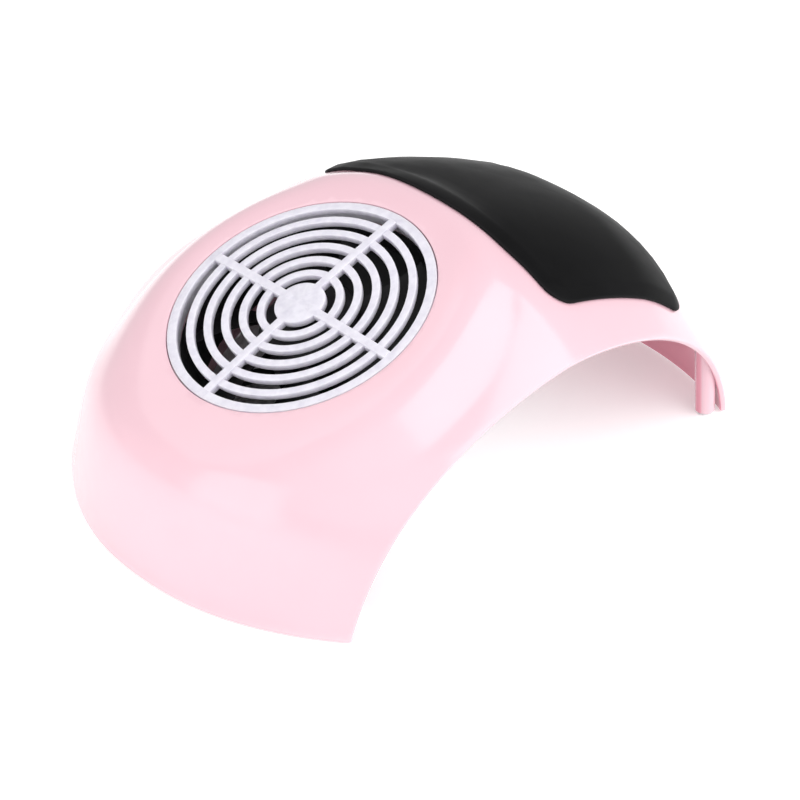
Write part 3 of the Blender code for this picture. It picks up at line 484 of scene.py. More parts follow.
def finish_piece(obj, body, slot, *nodes, angle=35):
    """Bake, shade, paint, and put the piece on its body."""
    bake(obj)
    obj.data.transform(obj.matrix_world)
    obj.matrix_world = Matrix.Identity(4)
    obj.data.shade_smooth()
    obj.data.set_sharp_from_angle(angle=radians(angle))
    obj.data.materials.clear()
    obj.data.materials.append(LOOKS[slot])
    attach(obj, body)
    if nodes:
        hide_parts(*nodes)
    return obj


def row_faces(rows, count, closed=True, looped=False):
    """Four-sided faces between rows of points: closed rows join up, and a looped set of rows too."""
    faces = []
    for i in range(rows if looped else rows - 1):
        here, after = i * count, (i + 1) % rows * count
        for j in range(count if closed else count - 1):
            n = (j + 1) % count
            faces.append((here + j, here + n, after + n, after + j))
    return faces


def cap_faces(first, count, middle):
    """Triangles from a closed row of points to a middle one."""
    return [(first + k, first + (k + 1) % count, middle) for k in range(count)]


def lathe(name, profile, segments, matrix):
    """Turn a closed profile of (radius, height) points about Z; points on the axis are shared."""
    verts, rings = [], []
    for radius, height in profile:
        if radius < WELD:
            rings.append([len(verts)] * segments)
            verts.append((0, 0, height))
            continue
        rings.append(list(range(len(verts), len(verts) + segments)))
        verts += [polar(radius, 2 * pi * k / segments, height) for k in range(segments)]
    faces = []
    closed = profile[0][0] > WELD or profile[-1][0] > WELD
    pairs = list(zip(rings, rings[1:])) + ([(rings[-1], rings[0])] if closed else [])
    for upper, lower in pairs:
        for k in range(segments):
            n = (k + 1) % segments
            corners = list(dict.fromkeys((upper[k], lower[k], lower[n], upper[n])))
            if len(corners) > 2:
                faces.append(corners)
    return new_object(name, verts, faces, matrix)


def cylinder(name, radius, top, bottom, matrix, segments=48):
    return lathe(name, [(0, top), (radius, top), (radius, bottom), (0, bottom)], segments, matrix)


def block(name, size, centre, matrix=None):
    verts = [[c * s + m for c, s, m in zip(corner, size, centre)]
             for corner in itertools.product((-0.5, 0.5), repeat=3)]
    faces = [(0, 1, 3, 2), (4, 6, 7, 5), (0, 4, 5, 1), (2, 3, 7, 6), (0, 2, 6, 4), (1, 5, 7, 3)]
    return new_object(name, verts, faces, matrix)


def rounded_corners(half_x, half_y, corner_x, corner_y, steps):
    """The four rounded corners of a rectangle, each as a list of points."""
    corners = []
    for quarter, (sx, sy) in enumerate(((1, 1), (-1, 1), (-1, -1), (1, -1))):
        angles = [pi / 2 * (quarter + k / steps) for k in range(steps + 1)]
        corners.append([(sx * (half_x - corner_x) + corner_x * cos(angle),
                         sy * (half_y - corner_y) + corner_y * sin(angle))
                        for angle in angles])
    return corners


def rounded_block(name, size, corner, centre, matrix):
    """Block whose four upright edges are rounded."""
    corners = rounded_corners(size[0] / 2, size[1] / 2, corner, corner, 6)
    outline = [(centre[0] + x, centre[1] + y) for points in corners for x, y in points]
    count = len(outline)
    verts = [(x, y, centre[2] + side * size[2] / 2) for side in (-1, 1) for x, y in outline]
    faces = row_faces(2, count) + [tuple(reversed(range(count))), tuple(range(count, 2 * count))]
    return new_object(name, verts, faces, matrix)


def in_fan(radius, angle):
    """Frame in the grille plane, out at a radius and an angle."""
    return FAN @ turn(angle, "Z") @ move((radius, 0, 0))


def turned(degrees):
    """The fan's frame, turned so that no corner of a cutter falls on a corner it meets."""
    return in_fan(0, radians(degrees))


LUG_PLACES = [in_fan(LUG_RADIUS, angle) for angle in QUARTERS]


# ---- the shell's surface
def bezier(p0, p1, p2, p3, t):
    s = 1 - t
    return tuple(s ** 3 * a + 3 * s * s * t * b + 3 * s * t * t * c + t ** 3 * d
                 for a, b, c, d in zip(p0, p1, p2, p3))


def fan_plane(x):
    """Height of the grille plane at distance x from the front corners, in millimetres."""
    return FAN_Z / MM + (x - FAN_X / MM) * tan(FAN_TILT)


def sample_chain(points, per_segment=80):
    """Bezier chain in (x, z), returned as a list of (share of arc length, x, z)."""
    path = [bezier(*points[start:start + 4], k / per_segment)
            for start in range(0, len(points) - 3, 3) for k in range(per_segment)]
    path.append(points[-1])
    lengths = [0.0, *itertools.accumulate(dist(a, b) for a, b in zip(path, path[1:]))]
    return [(length / lengths[-1], x, z) for length, (x, z) in zip(lengths, path)]


# side rim of the shell: corner, arch and rear corner (millimetres)
RIM = sample_chain([(0, 0), (16.2, 49.3), (55.5, 77.5), (112, 75.1),
                    (135, 74.1), (213.6, 54.3), (217.5, 0)])
# middle line: bowed front, flat run under the grille, crown, rounded rear (millimetres)
SPINE = sample_chain([(-30.6, 0), (-30.6, 56),
                      *[(x, fan_plane(x)) for x in (-27.8, 2.2, 36, 70, 104, 110.5)],
                      (144.7, 106.4), (180, 89.9), (194.7, 83.0), (231.6, 49), (231.6, 0)])


def along(path, share):
    """Point of a sampled path at a share of its length."""
    after = bisect.bisect_right(path, share, key=lambda point: point[0])
    after = min(max(after, 1), len(path) - 1)
    a, b = path[after - 1], path[after]
    t = (share - a[0]) / (b[0] - a[0])
    return a[1] + (b[1] - a[1]) * t, a[2] + (b[2] - a[2]) * t


def half_width(x):
    t = min(max(x * MM / CHORD_LENGTH, 0.0), 1.0)
    straight = FRONT_HALF_WIDTH + (REAR_HALF_WIDTH - FRONT_HALF_WIDTH) * t
    return straight + SIDE_BULGE * 4 * t * (1 - t) * (1 + SIDE_BULGE_BIAS * (1 - 2 * t))


def shell_point(u, v):
    """Outer surface: u runs 0..1 from front to rear ground edge, v -1..1 from rim to rim."""
    u = min(max(u, 0.0), 1.0)
    rim_x, rim_z = along(RIM, u)
    mid_x, mid_z = along(SPINE, u)
    fullness = FRONT_FULLNESS + (REAR_FULLNESS - FRONT_FULLNESS) * u
    x = (rim_x + (mid_x - rim_x) * (1 - abs(v) ** PLAN_FULLNESS)) * MM
    z = (rim_z + (mid_z - rim_z) * (1 - abs(v) ** fullness)) * MM
    y = half_width(rim_x) * v
    # ease the arch into the flat seat round the grille
    reach = hypot((x - FAN_X) / cos(FAN_TILT), y)
    t = min(max((reach - FLAT_RADIUS) / BLEND_WIDTH, 0.0), 1.0)
    share = t * t * (3 - 2 * t)
    z = fan_plane(x / MM) * MM * (1 - share) + z * share
    return Vector((CHORD_X + x, y, FOOT_PROUD + z))


def shell_normal(u, v):
    step = 0.004
    du = shell_point(u + step, v) - shell_point(u - step, v)
    dv = shell_point(u, v + step) - shell_point(u, v - step)
    return du.cross(dv).normalized()


def shell_frame(u, v, spin=0.0):
    """Frame on the outer surface: local Z outward, local Y across the body."""
    normal = shell_normal(u, v)
    across = (Vector((0, 1, 0)) - normal * normal.y).normalized()
    down = across.cross(normal)
    axes = Matrix((down, across, normal)).transposed().to_4x4()
    return move(shell_point(u, v)) @ axes @ turn(spin, "Z")


SWITCH_PLACE = shell_frame(*SWITCH_AT, pi / 2)
JACK_PLACE = shell_frame(*JACK_AT)


def shell_height(x, y):
    """Height of the outer surface above a point of the table."""
    low, high = 0.0, 1.0
    for _ in range(40):
        u = (low + high) / 2
        rim_x, _rim_z = along(RIM, u)
        v = min(max(y / half_width(rim_x), -1.0), 1.0)
        if shell_point(u, v).x < x:
            low = u
        else:
            high = u
    return shell_point(u, v).z


FEET = [(sum(c.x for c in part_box(f"rubber_foot_{k}")) / 2,
         sum(c.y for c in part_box(f"rubber_foot_{k}")) / 2) for k in (1, 2, 3, 4)]


# ---- shell
def foot_post(x, y, segments=40):
    """Moulded post, slightly thicker toward the wall that its top is buried in."""
    foot_round = 0.5 * MM
    buried = 0.6 * WALL
    verts = []
    for height, radius in ((0, POST_RADIUS - foot_round), (foot_round, POST_RADIUS),
                           (None, POST_RADIUS * 1.12)):
        for k in range(segments):
            out_x, out_y, _ = polar(radius, 2 * pi * k / segments)
            place = x + out_x, y + out_y
            top = shell_height(*place) - buried
            verts.append((*place, top if height is None else FOOT_PROUD + height))
    verts += [(x, y, FOOT_PROUD), (x, y, shell_height(x, y) - buried)]
    faces = row_faces(3, segments) + cap_faces(0, segments, 3 * segments)
    faces += cap_faces(2 * segments, segments, 3 * segments + 1)
    return new_object("post", verts, faces)


def build_shell(rows=130, columns=96):
    """One moulding: the arched skin, its posts, the fan's seat ring and bosses, and cut-outs."""
    overrun = Vector((0, 0, -6 * MM))          # both ground edges are cut flat afterwards
    verts = []
    for i in range(rows + 1):
        for j in range(columns + 1):
            point = shell_point(i / rows, 2 * j / columns - 1)
            verts.append(point + overrun if i in (0, rows) else point)
    shell = new_object("shell_moulding", verts, row_faces(rows + 1, columns + 1, closed=False))
    if sum(face.normal.z for face in shell.data.polygons) < 0:
        shell.data.flip_normals()
    modify(shell, "SOLIDIFY", thickness=WALL, use_even_offset=True)
    bake(bevel(shell, RIM_ROUND, 3, 50))

    posts = joined("posts", [foot_post(x, y) for x, y in FEET])
    plate = block("plate", mm(24, 18, 4.4), mm(0, 0, -1.4), SWITCH_PLACE)
    jack_boss = cylinder("jack_boss", *mm(8, 0.8, -3.6), JACK_PLACE, 64)
    ring = lathe("ring", mm((58.5, -1.2), (58.5, -8.7), (50, -8.7), (50, -1.2)), 144, turned(0.7))
    bosses = joined("bosses", [cylinder("boss", *mm(4, -1.5, -9), place, 32)
                               for place in LUG_PLACES])
    combine(shell, [joined("fittings", [posts, plate, jack_boss]), ring, bosses], "UNION")

    lip = 0.35 * MM
    seat = lathe("seat", [(0, 8 * MM), (SEAT_RADIUS + lip, 8 * MM), (SEAT_RADIUS + lip, 0.02 * MM),
                          (SEAT_RADIUS + 0.3 * lip, -0.3 * lip), (SEAT_RADIUS, -lip),
                          (SEAT_RADIUS, -SEAT_DEPTH), (THROAT_RADIUS, -SEAT_DEPTH),
                          (THROAT_RADIUS, -12 * MM), (0, -12 * MM)], 180, turned(0.4))
    holes = [cylinder("boss_hole", *mm(1.7, -3.5, -12), place, 24) for place in LUG_PLACES]
    holes.append(block("switch_hole", mm(19.6, 13.6, 20), (0, 0, 0), SWITCH_PLACE))
    holes.append(cylinder("jack_hole", *mm(5.8, 8, -8), JACK_PLACE))
    sockets = [cylinder("socket", 3.4 * MM, FOOT_PROUD + 1.6 * MM, -2 * MM, move((x, y, 0)), 32)
               for x, y in FEET]
    ground = block("ground", (0.4, 0.3, 0.04), (0, 0, FOOT_PROUD - 0.02))
    combine(shell, [seat, joined("holes", holes), joined("sockets", sockets), ground], "DIFFERENCE")
    finish_piece(shell, "body", "shell", "top_shell", angle=32)


# ---- palm rest
def pad_ring(inset, points=14):
    """Rounded rectangle in the shell's coordinates, this far inside the pad's outline."""
    inset_u, inset_v = inset / SHELL_LENGTH, inset / FRONT_HALF_WIDTH
    u_mid = (PAD_FRONT + PAD_REAR) / 2
    u_half = (PAD_REAR - PAD_FRONT) / 2
    corners = rounded_corners(u_half - inset_u, PAD_SIDE - inset_v,
                              max(PAD_CORNER_U - inset_u, 0.25 * PAD_CORNER_U),
                              max(PAD_CORNER_V - inset_v, 0.25 * PAD_CORNER_V), 8)
    ring = []
    for quarter, corner in enumerate(corners):
        (u0, v0), (u1, v1) = corner[-1], corners[(quarter + 1) % 4][0]
        count = points if quarter % 2 else 2 * points
        ring += corner
        ring += [(u0 + (u1 - u0) * k / count, v0 + (v1 - v0) * k / count)
                 for k in range(1, count)]
    return [(u_mid + u, v * (1 + PAD_FLARE * u / u_half)) for u, v in ring]


def build_palm_rest():
    """Pad that follows the shell: upright border, sloping band and crowned top."""
    # (inset, height above the shell) up the border and across the sloping band
    section = mm((0.35, 0.15), (0.0, 0.45), (0.0, 1.15), (0.3, 1.45), (0.9, 1.65), (2.5, 2.05),
                 (4.2, 2.5), (5.2, 2.72), (6.2, 2.8), (7.4, 2.8))
    seat = section[0][1]
    top_height = seat + PAD_THICKNESS + 0.1 * MM
    outline = [pad_ring(inset) for inset, _ in section]
    inner = outline[-1]
    u_mid = sum(u for u, _ in inner) / len(inner)

    def shrunk(ring, height):
        return [[(u_mid + (u - u_mid) * share, v * share, height) for u, v in ring]
                for share in (0.9, 0.78, 0.64, 0.5, 0.36, 0.22, 0.1)]

    rings = [[(u, v, height) for u, v in ring] for ring, (_, height) in zip(outline, section)]
    stack = shrunk(outline[0], seat)[::-1] + rings + shrunk(inner, top_height)
    points = [point for ring in stack for point in ring] + [(u_mid, 0, seat), (u_mid, 0, top_height)]
    verts = [shell_point(u, v) + shell_normal(u, v) * height for u, v, height in points]
    count = len(inner)
    middle = count * len(stack)
    faces = row_faces(len(stack), count) + cap_faces(0, count, middle)
    faces += cap_faces(middle - count, count, middle + 1)
    finish_piece(new_object("palm_pad", verts, faces), "body", "palm_rest", "palm_rest", angle=50)


# ---- grille
def dome_height(radius):
    """Height of the rings above the grille plane."""
    return DOME * (1 - (radius / GRILLE_RADIUS) ** 2)


def grille_disc(steps=18):
    """Domed sheet with the arc slots left out, as rings of four-sided faces."""
    radii = [5 * MM]
    slots = []
    for row in range(SLOT_ROWS):
        middle = SLOT_FIRST + SLOT_PITCH * row
        slots.append(len(radii))
        radii += [middle - SLOT_WIDTH / 2, middle + SLOT_WIDTH / 2]
    radii.append(GRILLE_RADIUS)
    # along each quadrant: the spoke's middle line, then from its edge to the next spoke's edge
    fractions = [None] + [k / steps for k in range(steps + 1)]
    verts = [(0, 0, DOME)]
    for radius in radii:
        edge = asin(min(SPOKE_WIDTH / 2 / radius, 0.5))
        for quadrant in range(4):
            for fraction in fractions:
                angle = 0.0 if fraction is None else edge + (pi / 2 - 2 * edge) * fraction
                angle += quadrant * pi / 2
                verts.append(polar(radius, angle, dome_height(radius)))
    around = 4 * len(fractions)
    faces = []
    for k in range(around):
        n = (k + 1) % around
        over_slot = 0 < k % len(fractions) < len(fractions) - 1
        faces.append((0, 1 + k, 1 + n))
        for i in range(len(radii) - 1):
            if not (i in slots and over_slot):
                inner, outer = 1 + i * around, 1 + (i + 1) * around
                faces.append((inner + k, outer + k, outer + n, inner + n))
    disc = new_object("grille_rings", verts, faces, FAN)
    if disc.data.polygons[0].normal.z < 0:
        disc.data.flip_normals()
    return disc


def grille_spoke(angle, stations=12):
    """Bar that follows the dome from the hub disc to the rim."""
    inner, outer = 6 * MM, SKIRT_INNER
    half = SPOKE_WIDTH / 2 - 0.05 * MM
    verts = []
    for k in range(stations + 1):
        radius = inner + (outer - inner) * k / stations
        top = dome_height(radius) + SPOKE_RISE
        verts += [(radius, -half, top), (radius, half, top),
                  (radius, half, top - 1.8 * MM), (radius, -half, top - 1.8 * MM)]
    faces = [(0, 1, 2, 3), tuple(4 * stations + c for c in (3, 2, 1, 0))]
    faces += row_faces(stations + 1, 4)
    return bake(bevel(new_object("spoke", verts, faces, in_fan(0, angle)), 0.35 * MM, 3))


def build_grille():
    """Rings, proud spokes and hub disc, and the skirt that clips into the throat."""
    grille = grille_disc()
    modify(grille, "SOLIDIFY", thickness=BAR_THICKNESS)
    bake(bevel(grille, BAR_ROUND, 3, 40))
    hub_radius = SLOT_FIRST - SLOT_WIDTH / 2 - 0.05 * MM
    hub_top = DOME + SPOKE_RISE
    hub = lathe("hub", [(0, hub_top), (hub_radius - 0.5 * MM, hub_top - 0.03 * MM),
                        (hub_radius - 0.12 * MM, hub_top - 0.17 * MM),
                        (hub_radius, hub_top - 0.5 * MM), (hub_radius, 0), (0, 0)], 96,
                turned(0.6))
    spokes = [grille_spoke(k * pi / 2) for k in range(4)]
    ledge, top = GRILLE_RADIUS - 0.2 * MM, -1.2 * MM
    skirt = lathe("skirt", [(ledge, top), (ledge, -GRILLE_RIM), (SKIRT_OUTER, -GRILLE_RIM),
                            (SKIRT_OUTER, -SKIRT_DEPTH), (SKIRT_INNER, -SKIRT_DEPTH),
                            (SKIRT_INNER, top)], 144, FAN)
    combine(grille, [skirt, hub] + spokes, "UNION")
    finish_piece(grille, "grille", "grille", "fan_grille", angle=50)


# ---- fan
def build_fan_frame():
    """Round housing with lugs at the top and four struts to the motor cup."""
    housing = lathe("fan_housing", mm((55.5, -FRAME_TOP), (55.5, -FRAME_BOTTOM),
                                      (52.5, -FRAME_BOTTOM), (52.5, -FRAME_TOP)), 160, FAN)
    lug_centre = mm(-2.5, 0, -FRAME_TOP - 1.52)
    lugs = joined("lugs", [rounded_block("lug", mm(14, 9, 3), 3 * MM, lug_centre, place)
                           for place in LUG_PLACES])
    struts = joined("struts", [block("strut", mm(36, 5, 3.2), mm(0, 0, -FRAME_BOTTOM + 1.7),
                                     in_fan(36 * MM, angle)) for angle in QUARTERS])
    cup = lathe("cup", mm((0, -32.6), (19.2, -32.6), (19.2, -30.4), (21, -30.4), (21, -34.8),
                          (0, -34.8)), 96, FAN)
    tube = lathe("tube", mm((7, -14), (7, -33.4), (5.3, -33.4), (5.3, -14)), 48, FAN)
    combine(housing, [lugs, struts, cup, tube], "UNION")
    holes = [cylinder("hole", *mm(1.7, -8, -14), place, 24) for place in LUG_PLACES]
    combine(housing, [joined("lug_holes", holes)], "DIFFERENCE")
    finish_piece(bevel(housing, 0.25 * MM, 2, 50), "body", "fan_plastic", "fan_frame")


def blade(number, stations=14, chord_steps=10):
    """One twisted blade, thickest in the middle of its chord, its root buried in the hub."""
    start = 2 * pi * number / BLADE_COUNT
    root = HUB_RADIUS * MM - 1.2 * MM
    verts = []
    for side in (1, -1):
        for i in range(stations + 1):
            t = i / stations
            radius = root + (BLADE_RADIUS - root) * t
            half_angle = radians(20 - 2 * t)
            rise = (8.2 - 2.6 * t) * MM
            for j in range(chord_steps + 1):
                s = 2 * j / chord_steps - 1
                angle = start + radians(14) * t + half_angle * s
                thick = 0.75 * MM * sqrt(max(1 - s ** 4, 0.04))
                height = -17.5 * MM + rise * s + 1.2 * MM * s * s + side * thick
                verts.append(polar(radius, angle, height))
    width = chord_steps + 1
    under = (stations + 1) * width
    faces = []
    for i, j in itertools.product(range(stations), range(chord_steps)):
        a = i * width + j
        faces.append((a, a + width, a + width + 1, a + 1))
        faces.append((under + a + 1, under + a + width + 1, under + a + width, under + a))
    tip = stations * width
    border = [*range(0, tip, width), *range(tip, tip + chord_steps),
              *range(tip + chord_steps, chord_steps, -width), *range(chord_steps, 0, -1)]
    for a, b in zip(border, border[1:] + border[:1]):
        faces.append((a, under + a, under + b, b))
    return new_object("blade", verts, faces, FAN)


def build_impeller():
    """Hub, hollow underneath for the motor, with its blades."""
    hub = lathe("impeller_blades", mm(
        (0, -7.5), (12, -7.5), (12.6, -7.8), (18, -7.9), (19.6, -8.4), (HUB_RADIUS, -9.6),
        (HUB_RADIUS, -27.5), (18.6, -27.5), (18.6, -9.8), (4, -9.8), (4, -12.5), (1.8, -12.5),
        (1.8, -9), (0, -9)), 128, FAN)
    blades = joined("blades", [blade(number) for number in range(BLADE_COUNT)])
    combine(hub, [blades], "UNION")
    finish_piece(hub, "rotor", "impeller_plastic", "impeller")


# ---- outlet and bag
def build_collar():
    """Ring under the fan that ends in the lip the bag's band grips."""
    lip_top = -(COLLAR_BOTTOM - 1.2 * MM)
    collar = lathe("collar_ring", [
        (58 * MM, -27 * MM), (58 * MM, -(COLLAR_BOTTOM - 1.6 * MM)), (LIP_RADIUS, lip_top),
        (LIP_RADIUS, -COLLAR_BOTTOM), (53 * MM, -COLLAR_BOTTOM),
        *mm((53, -35.3), (55.8, -35.3), (55.8, -27))], 160, FAN)
    finish_piece(bevel(collar, 0.3 * MM, 2, 35), "body", "collar", "outlet_collar")


def build_band(ribs=150, per_rib=4):
    """Elastic band, gathered into fine ribs."""
    outline = [(61.05, 0), (61.0, 0.5), (61.0, 2.5), (61.05, 3.0), (61.6, 3.0),
               (62.2, 2.7), (62.4, 1.5), (62.2, 0.3), (61.6, 0.0)]
    verts = []
    around = ribs * per_rib
    for k in range(around):
        angle = 2 * pi * k / around
        swell = 0.12 * sin(angle * ribs)
        for radius, depth in outline:
            grown = radius + (swell if radius > 61.3 else 0)
            verts.append(polar(grown * MM, angle, -BAND_TOP - depth * MM))
    faces = row_faces(around, len(outline), looped=True)
    finish_piece(new_object("elastic_band", verts, faces, FAN), "bag", "bag_elastic", "bag_band",
                 angle=60)


BAG_PLACE = move((CHORD_X + 113 * MM, 0, FOOT_PROUD + 42 * MM)) @ turn(radians(-8), "Y")
BAG_INSET = 3.0 * MM         # the cloth starts this far inside the space that the frame gives it
BAG_SWELL = 3.5 * MM         # and may move this far
MOUTH_DEPTH = 45.0 * MM      # the cloth is held above this depth
SKIRT_TOP = BAND_TOP - 0.5 * MM
SKIRT_LENGTH = 10.5 * MM


def fan_depth(point):
    """(radius, depth) of a point in the fan's frame."""
    local = FAN.inverted() @ point
    return hypot(local.x, local.y), -local.z


def bag_blank():
    """The filled bag's space, remeshed evenly, smoothed and drawn in a little."""
    mesh = frame["nodes"]["dust_bag"].data.copy()
    weld(mesh)
    bag = add_object("dust_bag_cloth", mesh)
    modify(bag, "REMESH", mode="VOXEL", voxel_size=4 * MM)
    modify(bag, "SMOOTH", factor=0.5, iterations=6)
    bake(bag)
    for vert, normal in [(v, v.normal.copy()) for v in bag.data.vertices]:
        vert.co -= normal * BAG_INSET
    return bag


def inflate(bag):
    """Cloth under slight pressure, held at the mouth, with its travel capped."""
    start = [v.co.copy() for v in bag.data.vertices]
    held = bag.vertex_groups.new(name="held")
    held.add([v.index for v in bag.data.vertices if fan_depth(v.co)[1] < MOUTH_DEPTH + 2 * MM],
             1.0, "REPLACE")
    cloth = modify(bag, "CLOTH")
    assign(cloth.settings, dict(
        quality=5, mass=0.15, vertex_group_mass=held.name, use_pressure=True,
        uniform_pressure_force=4.0, tension_stiffness=8, compression_stiffness=8,
        bending_stiffness=0.2, shrink_min=-0.08))
    cloth.settings.effector_weights.gravity = 0
    cloth.collision_settings.use_collision = False
    scene = bpy.context.scene
    for step in range(1, 21):
        scene.frame_set(step)
    graph = bpy.context.evaluated_depsgraph_get()
    moved = [v.co.copy() for v in bag.evaluated_get(graph).data.vertices]
    bag.modifiers.clear()
    scene.frame_set(1)
    for vert, first, last in zip(bag.data.vertices, start, moved):
        travel = last - first
        if travel.length > BAG_SWELL:
            travel *= BAG_SWELL / travel.length
        vert.co = first + travel


def skirt_radius(share):
    """Middle of the gathered mouth, this share of the way down from its hem."""
    return 60.25 * MM - 3.4 * MM * max(share - 0.45, 0) / 0.55


def line_mouth(bag):
    """Lay the cloth near the mouth against the inside of the gathered sheet, with an even edge."""
    for vert in bag.data.vertices:
        radius, depth = fan_depth(vert.co)
        share = min(max((MOUTH_DEPTH + 4 * MM - depth) / (3 * MM), 0), 1)
        if share > 0:
            lining = skirt_radius(min((depth - SKIRT_TOP) / SKIRT_LENGTH, 1)) - 0.8 * MM
            grown = 1 + share * (lining / radius - 1)
            local = FAN.inverted() @ vert.co
            local = Vector((local.x * grown, local.y * grown,
                            min(local.z, -(MOUTH_DEPTH - 1.8 * MM))))
            vert.co = FAN @ local


def mouth_skirt(pleats=44, around=352, rows=10):
    """Gathered mouth: a sheet whose pleats run out toward its top hem."""
    verts = []
    for i in range(rows + 1):
        t = i / rows
        depth = SKIRT_TOP + SKIRT_LENGTH * t
        middle = skirt_radius(t)
        for k in range(around):
            angle = 2 * pi * k / around
            wander = 0.35 * noise.noise(Vector(polar(4, angle, 0.5)))
            fold = sin(pleats * angle + 5 * wander)
            radius = middle + 0.55 * MM * fold * max(0.0, min(1.0, (t - 0.4) / 0.25))
            verts.append(polar(radius, angle, -depth))
    skirt = new_object("skirt", verts, row_faces(rows + 1, around), FAN)
    modify(skirt, "SOLIDIFY", thickness=0.4 * MM, offset=0)
    return bake(skirt)


def seam_path(tree, points=160):
    """Line round the bag's widest part, from one side of the mouth round to the other."""
    path = []
    for k in range(points):
        angle = pi + 2 * pi * k / points
        outward = BAG_PLACE.to_3x3() @ Vector((cos(angle), sin(angle), 0))
        far = BAG_PLACE.translation + outward * 0.2
        hit = tree.ray_cast(far, -outward)[0]
        if fan_depth(hit)[1] > MOUTH_DEPTH + 2.5 * MM:
            path.append((hit, outward))
    return path


def seam_strip(path):
    """Sewn edge: a narrow double layer standing out from the bag, with a slight ripple."""
    up = BAG_PLACE.to_3x3() @ Vector((0, 0, 1))
    section = [(-1.5, 0.0), (-0.4, 0.55), (1.2, 0.35), (2.0, 0.3), (2.2, 0.0),
               (2.0, -0.3), (1.2, -0.35), (-0.4, -0.55)]
    verts = []
    for k, (point, outward) in enumerate(path):
        ripple = 0.5 * MM * sin(k * 0.9) * noise.noise(point * 60)
        for out, rise in section:
            verts.append(point + outward * out * MM + up * (rise * MM + ripple))
    count = len(section)
    faces = row_faces(len(path), count)
    for k in (0, len(path) - 1):
        faces.append(tuple(range(k * count, (k + 1) * count)))
    return new_object("bag_seam", verts, faces)


def open_mouth(bag):
    """Take away the closed mouth, faces that hang on by a corner, and loose scraps."""
    bm = bmesh.new()
    bm.from_mesh(bag.data)
    doomed = []
    for face in bm.faces:
        radius, depth = fan_depth(face.calc_center_median())
        if depth < MOUTH_DEPTH and (radius < 54 * MM or depth < MOUTH_DEPTH - 1.5 * MM):
            doomed.append(face)
    while doomed:
        bmesh.ops.delete(bm, geom=doomed, context="FACES")
        pinched = [v for v in bm.verts if sum(edge.is_boundary for edge in v.link_edges) > 2]
        doomed = list({face for vert in pinched for face in vert.link_faces})
    kept = set()
    reached = [max(bm.faces, key=lambda face: fan_depth(face.calc_center_median())[1])]
    while reached:
        face = reached.pop()
        if face not in kept:
            kept.add(face)
            reached += [other for edge in face.edges for other in edge.link_faces]
    bmesh.ops.delete(bm, geom=[face for face in bm.faces if face not in kept], context="FACES")
    bm.to_mesh(bag.data)
    bm.free()


def build_bag():
    """Cloth bag with a sewn seam round it and a gathered mouth."""
    bag = bag_blank()
    inflate(bag)
    tree = BVHTree.FromObject(bag, bpy.context.evaluated_depsgraph_get())
    finish_piece(seam_strip(seam_path(tree)), "bag", "bag_cloth", angle=60)

    open_mouth(bag)
    line_mouth(bag)
    modify(bag, "SUBSURF", levels=1, render_levels=1)
    modify(bag, "SOLIDIFY", thickness=0.5 * MM)
    finish_piece(bag, "bag", "bag_cloth", "dust_bag", angle=80)
    finish_piece(mouth_skirt(), "bag", "bag_cloth", angle=80)


# ---- switch and power inlet
def build_switch():
    """Framed housing with a rocker of two dished halves that meet over the pivot."""
    housing = rounded_block("switch_body", mm(22, 16, 1.4), 1.6 * MM, mm(0, 0, 1.8), SWITCH_PLACE)
    combine(housing, [block("core", mm(19, 13, 14), mm(0, 0, -5), SWITCH_PLACE)], "UNION")
    well = rounded_block("well", mm(16, 10, 10), 0.5 * MM, (0, 0, 0), SWITCH_PLACE)
    combine(housing, [well], "DIFFERENCE")
    finish_piece(bevel(housing, 0.35 * MM, 3, 50), "body", "switch_plastic", "switch_housing")

    # side view of the rocker, in millimetres: flat below, one end higher than the other
    half_length, half_across, bottom, middle = 7.3, 4.6, -2.2, 0.4
    low_end, high_end = 1.6, 2.9
    steps = 12
    top = []
    for k in range(steps + 1):
        s = 2 * k / steps - 1
        end = low_end if s > 0 else high_end
        top.append((half_length * s, middle + (end - middle) * abs(s) ** 1.3))
    outline = [(-half_length, bottom), (half_length, bottom)] + list(reversed(top))
    count = len(outline)
    verts = [mm(x, side * half_across, z) for side in (-1, 1) for x, z in outline]
    faces = [tuple(range(count)), tuple(reversed(range(count, 2 * count)))]
    faces += [(k, count + k, count + (k + 1) % count, (k + 1) % count) for k in range(count)]
    rocker_place = SWITCH_PLACE @ move(mm(0, 0, 0.6))
    rocker = bevel(new_object("rocker_cap", verts, faces, rocker_place), 0.35 * MM, 3, 50)
    finish_piece(rocker, "rocker", "switch_plastic", "switch_rocker", angle=40)

    # the usual line and ring on the two halves
    line = rounded_block("rocker_mark_line", mm(0.55, 3, 0.12), 0.2 * MM, mm(4.2, 0, 1.03),
                         rocker_place)
    ring = lathe("rocker_mark_ring", mm((1.6, 0.1), (1.6, -0.1), (1.15, -0.1), (1.15, 0.1)), 48,
                 rocker_place @ move(mm(-4.2, 0, 1.62)) @ turn(radians(20.6), "Y"))
    for mark in (line, ring):
        finish_piece(mark, "rocker", "print")


def build_jack():
    """Round power socket with a flange."""
    jack = lathe("power_socket", mm((0, -8), (2.9, -8), (2.9, 2.1), (3.2, 2.4), (6.7, 2.4),
                                    (7.2, 1.9), (7.2, 1.1), (5.5, 1.1), (5.5, -11), (0, -11)),
                 96, JACK_PLACE)
    finish_piece(bevel(jack, 0.15 * MM, 2, 50), "body", "switch_plastic", "power_jack")


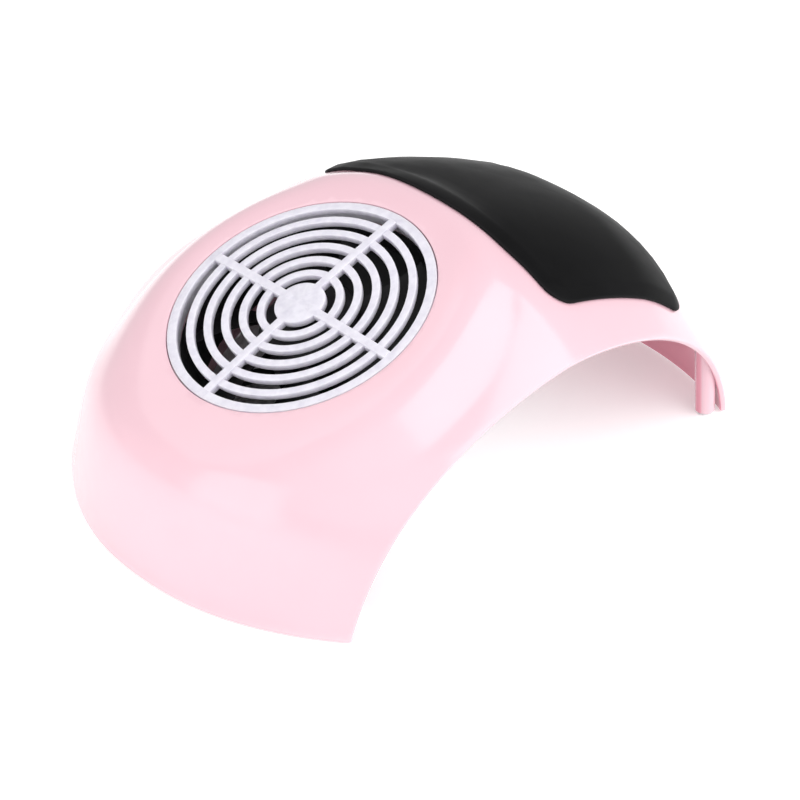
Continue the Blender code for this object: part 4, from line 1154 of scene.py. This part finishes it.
# ---- the frame's own nodes
def smoothing_group():
    """Welds a node's triangles and shades it smooth except across hard edges."""
    group = bpy.data.node_groups.new("weld_and_smooth", "GeometryNodeTree")
    for way in ("INPUT", "OUTPUT"):
        group.interface.new_socket("Geometry", in_out=way, socket_type="NodeSocketGeometry")
    kinds = ("NodeGroupInput", "GeometryNodeMergeByDistance", "GeometryNodeSetShadeSmooth",
             "GeometryNodeSetShadeSmooth", "NodeGroupOutput", "GeometryNodeInputMeshEdgeAngle",
             "FunctionNodeCompare")
    source, weld, faces, edges, result, angle, gentle = [group.nodes.new(kind) for kind in kinds]
    weld.inputs["Distance"].default_value = WELD
    edges.domain = "EDGE"
    gentle.operation = "LESS_THAN"
    gentle.inputs["B"].default_value = radians(38)
    for before, after in ((source, weld), (weld, faces), (faces, edges), (edges, result)):
        group.links.new(before.outputs[0], after.inputs[0])
    group.links.new(angle.outputs["Unsigned Angle"], gentle.inputs["A"])
    group.links.new(gentle.outputs[0], edges.inputs["Shade Smooth"])
    return group


def dress_frame_nodes():
    """Material, welding and softened edges for every node that is still shown."""
    slots = {part["node"]: part["material_slot"] for part in frame["record"]["subparts"]}
    group = smoothing_group()
    for name, node in frame["nodes"].items():
        if node.hide_render:
            continue
        mesh = node.data
        if "custom_normal" in mesh.attributes:
            mesh.attributes.remove(mesh.attributes["custom_normal"])
        mesh.materials.clear()
        mesh.materials.append(LOOKS[slots[name]])
        modify(node, "NODES", node_group=group)


# ---- studio
def build_floor():
    """Plain white floor; a little light of its own keeps it white under the arch."""
    floor = new_object("studio_floor", [(-6, -6, 0), (6, -6, 0), (6, 6, 0), (-6, 6, 0)],
                       [(0, 1, 2, 3)])
    look = Look("studio_paper", Roughness=0.9, Specular_IOR_Level=0.1,
                Emission_Color=(1, 1, 1, 1), Emission_Strength=FLOOR_GLOW)
    paper = look.ramp(look.noise(0.3), (0.90, 0.90, 0.90), (0.92, 0.92, 0.92))
    look.feed(look.shader, {"Base Color": paper})
    floor.data.materials.append(look.material)


def area_light(name, place, aim, size, power, spread):
    data = bpy.data.lights.new(name, "AREA")
    data.shape = "RECTANGLE"
    data.size, data.size_y = size
    data.energy = power
    data.spread = radians(spread)
    light = add_object(name, data)
    light.location = place
    light.rotation_euler = (Vector(aim) - Vector(place)).to_track_quat("-Z", "Y").to_euler()


def build_lights():
    """Even sky and the softboxes."""
    world = bpy.data.worlds.new("studio")
    world.use_nodes = True
    sky = world.node_tree.nodes["Background"]
    sky.inputs["Color"].default_value = (1, 1, 1, 1)
    sky.inputs["Strength"].default_value = SKY_STRENGTH
    bpy.context.scene.world = world
    for name, settings in SOFTBOXES.items():
        area_light(name, *settings)


def build_camera():
    data = bpy.data.cameras.new("camera")
    data.lens = CAMERA_LENS
    data.clip_end = 20
    place = (move(CAMERA_TARGET) @ turn(CAMERA_AZIMUTH, "Z") @ turn(pi / 2 - CAMERA_ELEVATION, "X")
             @ turn(CAMERA_ROLL, "Z") @ move((0, 0, CAMERA_DISTANCE)))
    bpy.context.scene.camera = add_object("camera", data, place)


# ---- everything
build_shell()
build_palm_rest()
build_grille()
build_fan_frame()
build_impeller()
build_collar()
build_band()
build_bag()
build_switch()
build_jack()
dress_frame_nodes()
build_floor()
build_lights()
build_camera()
bpy.context.scene.view_settings.view_transform = "Standard"
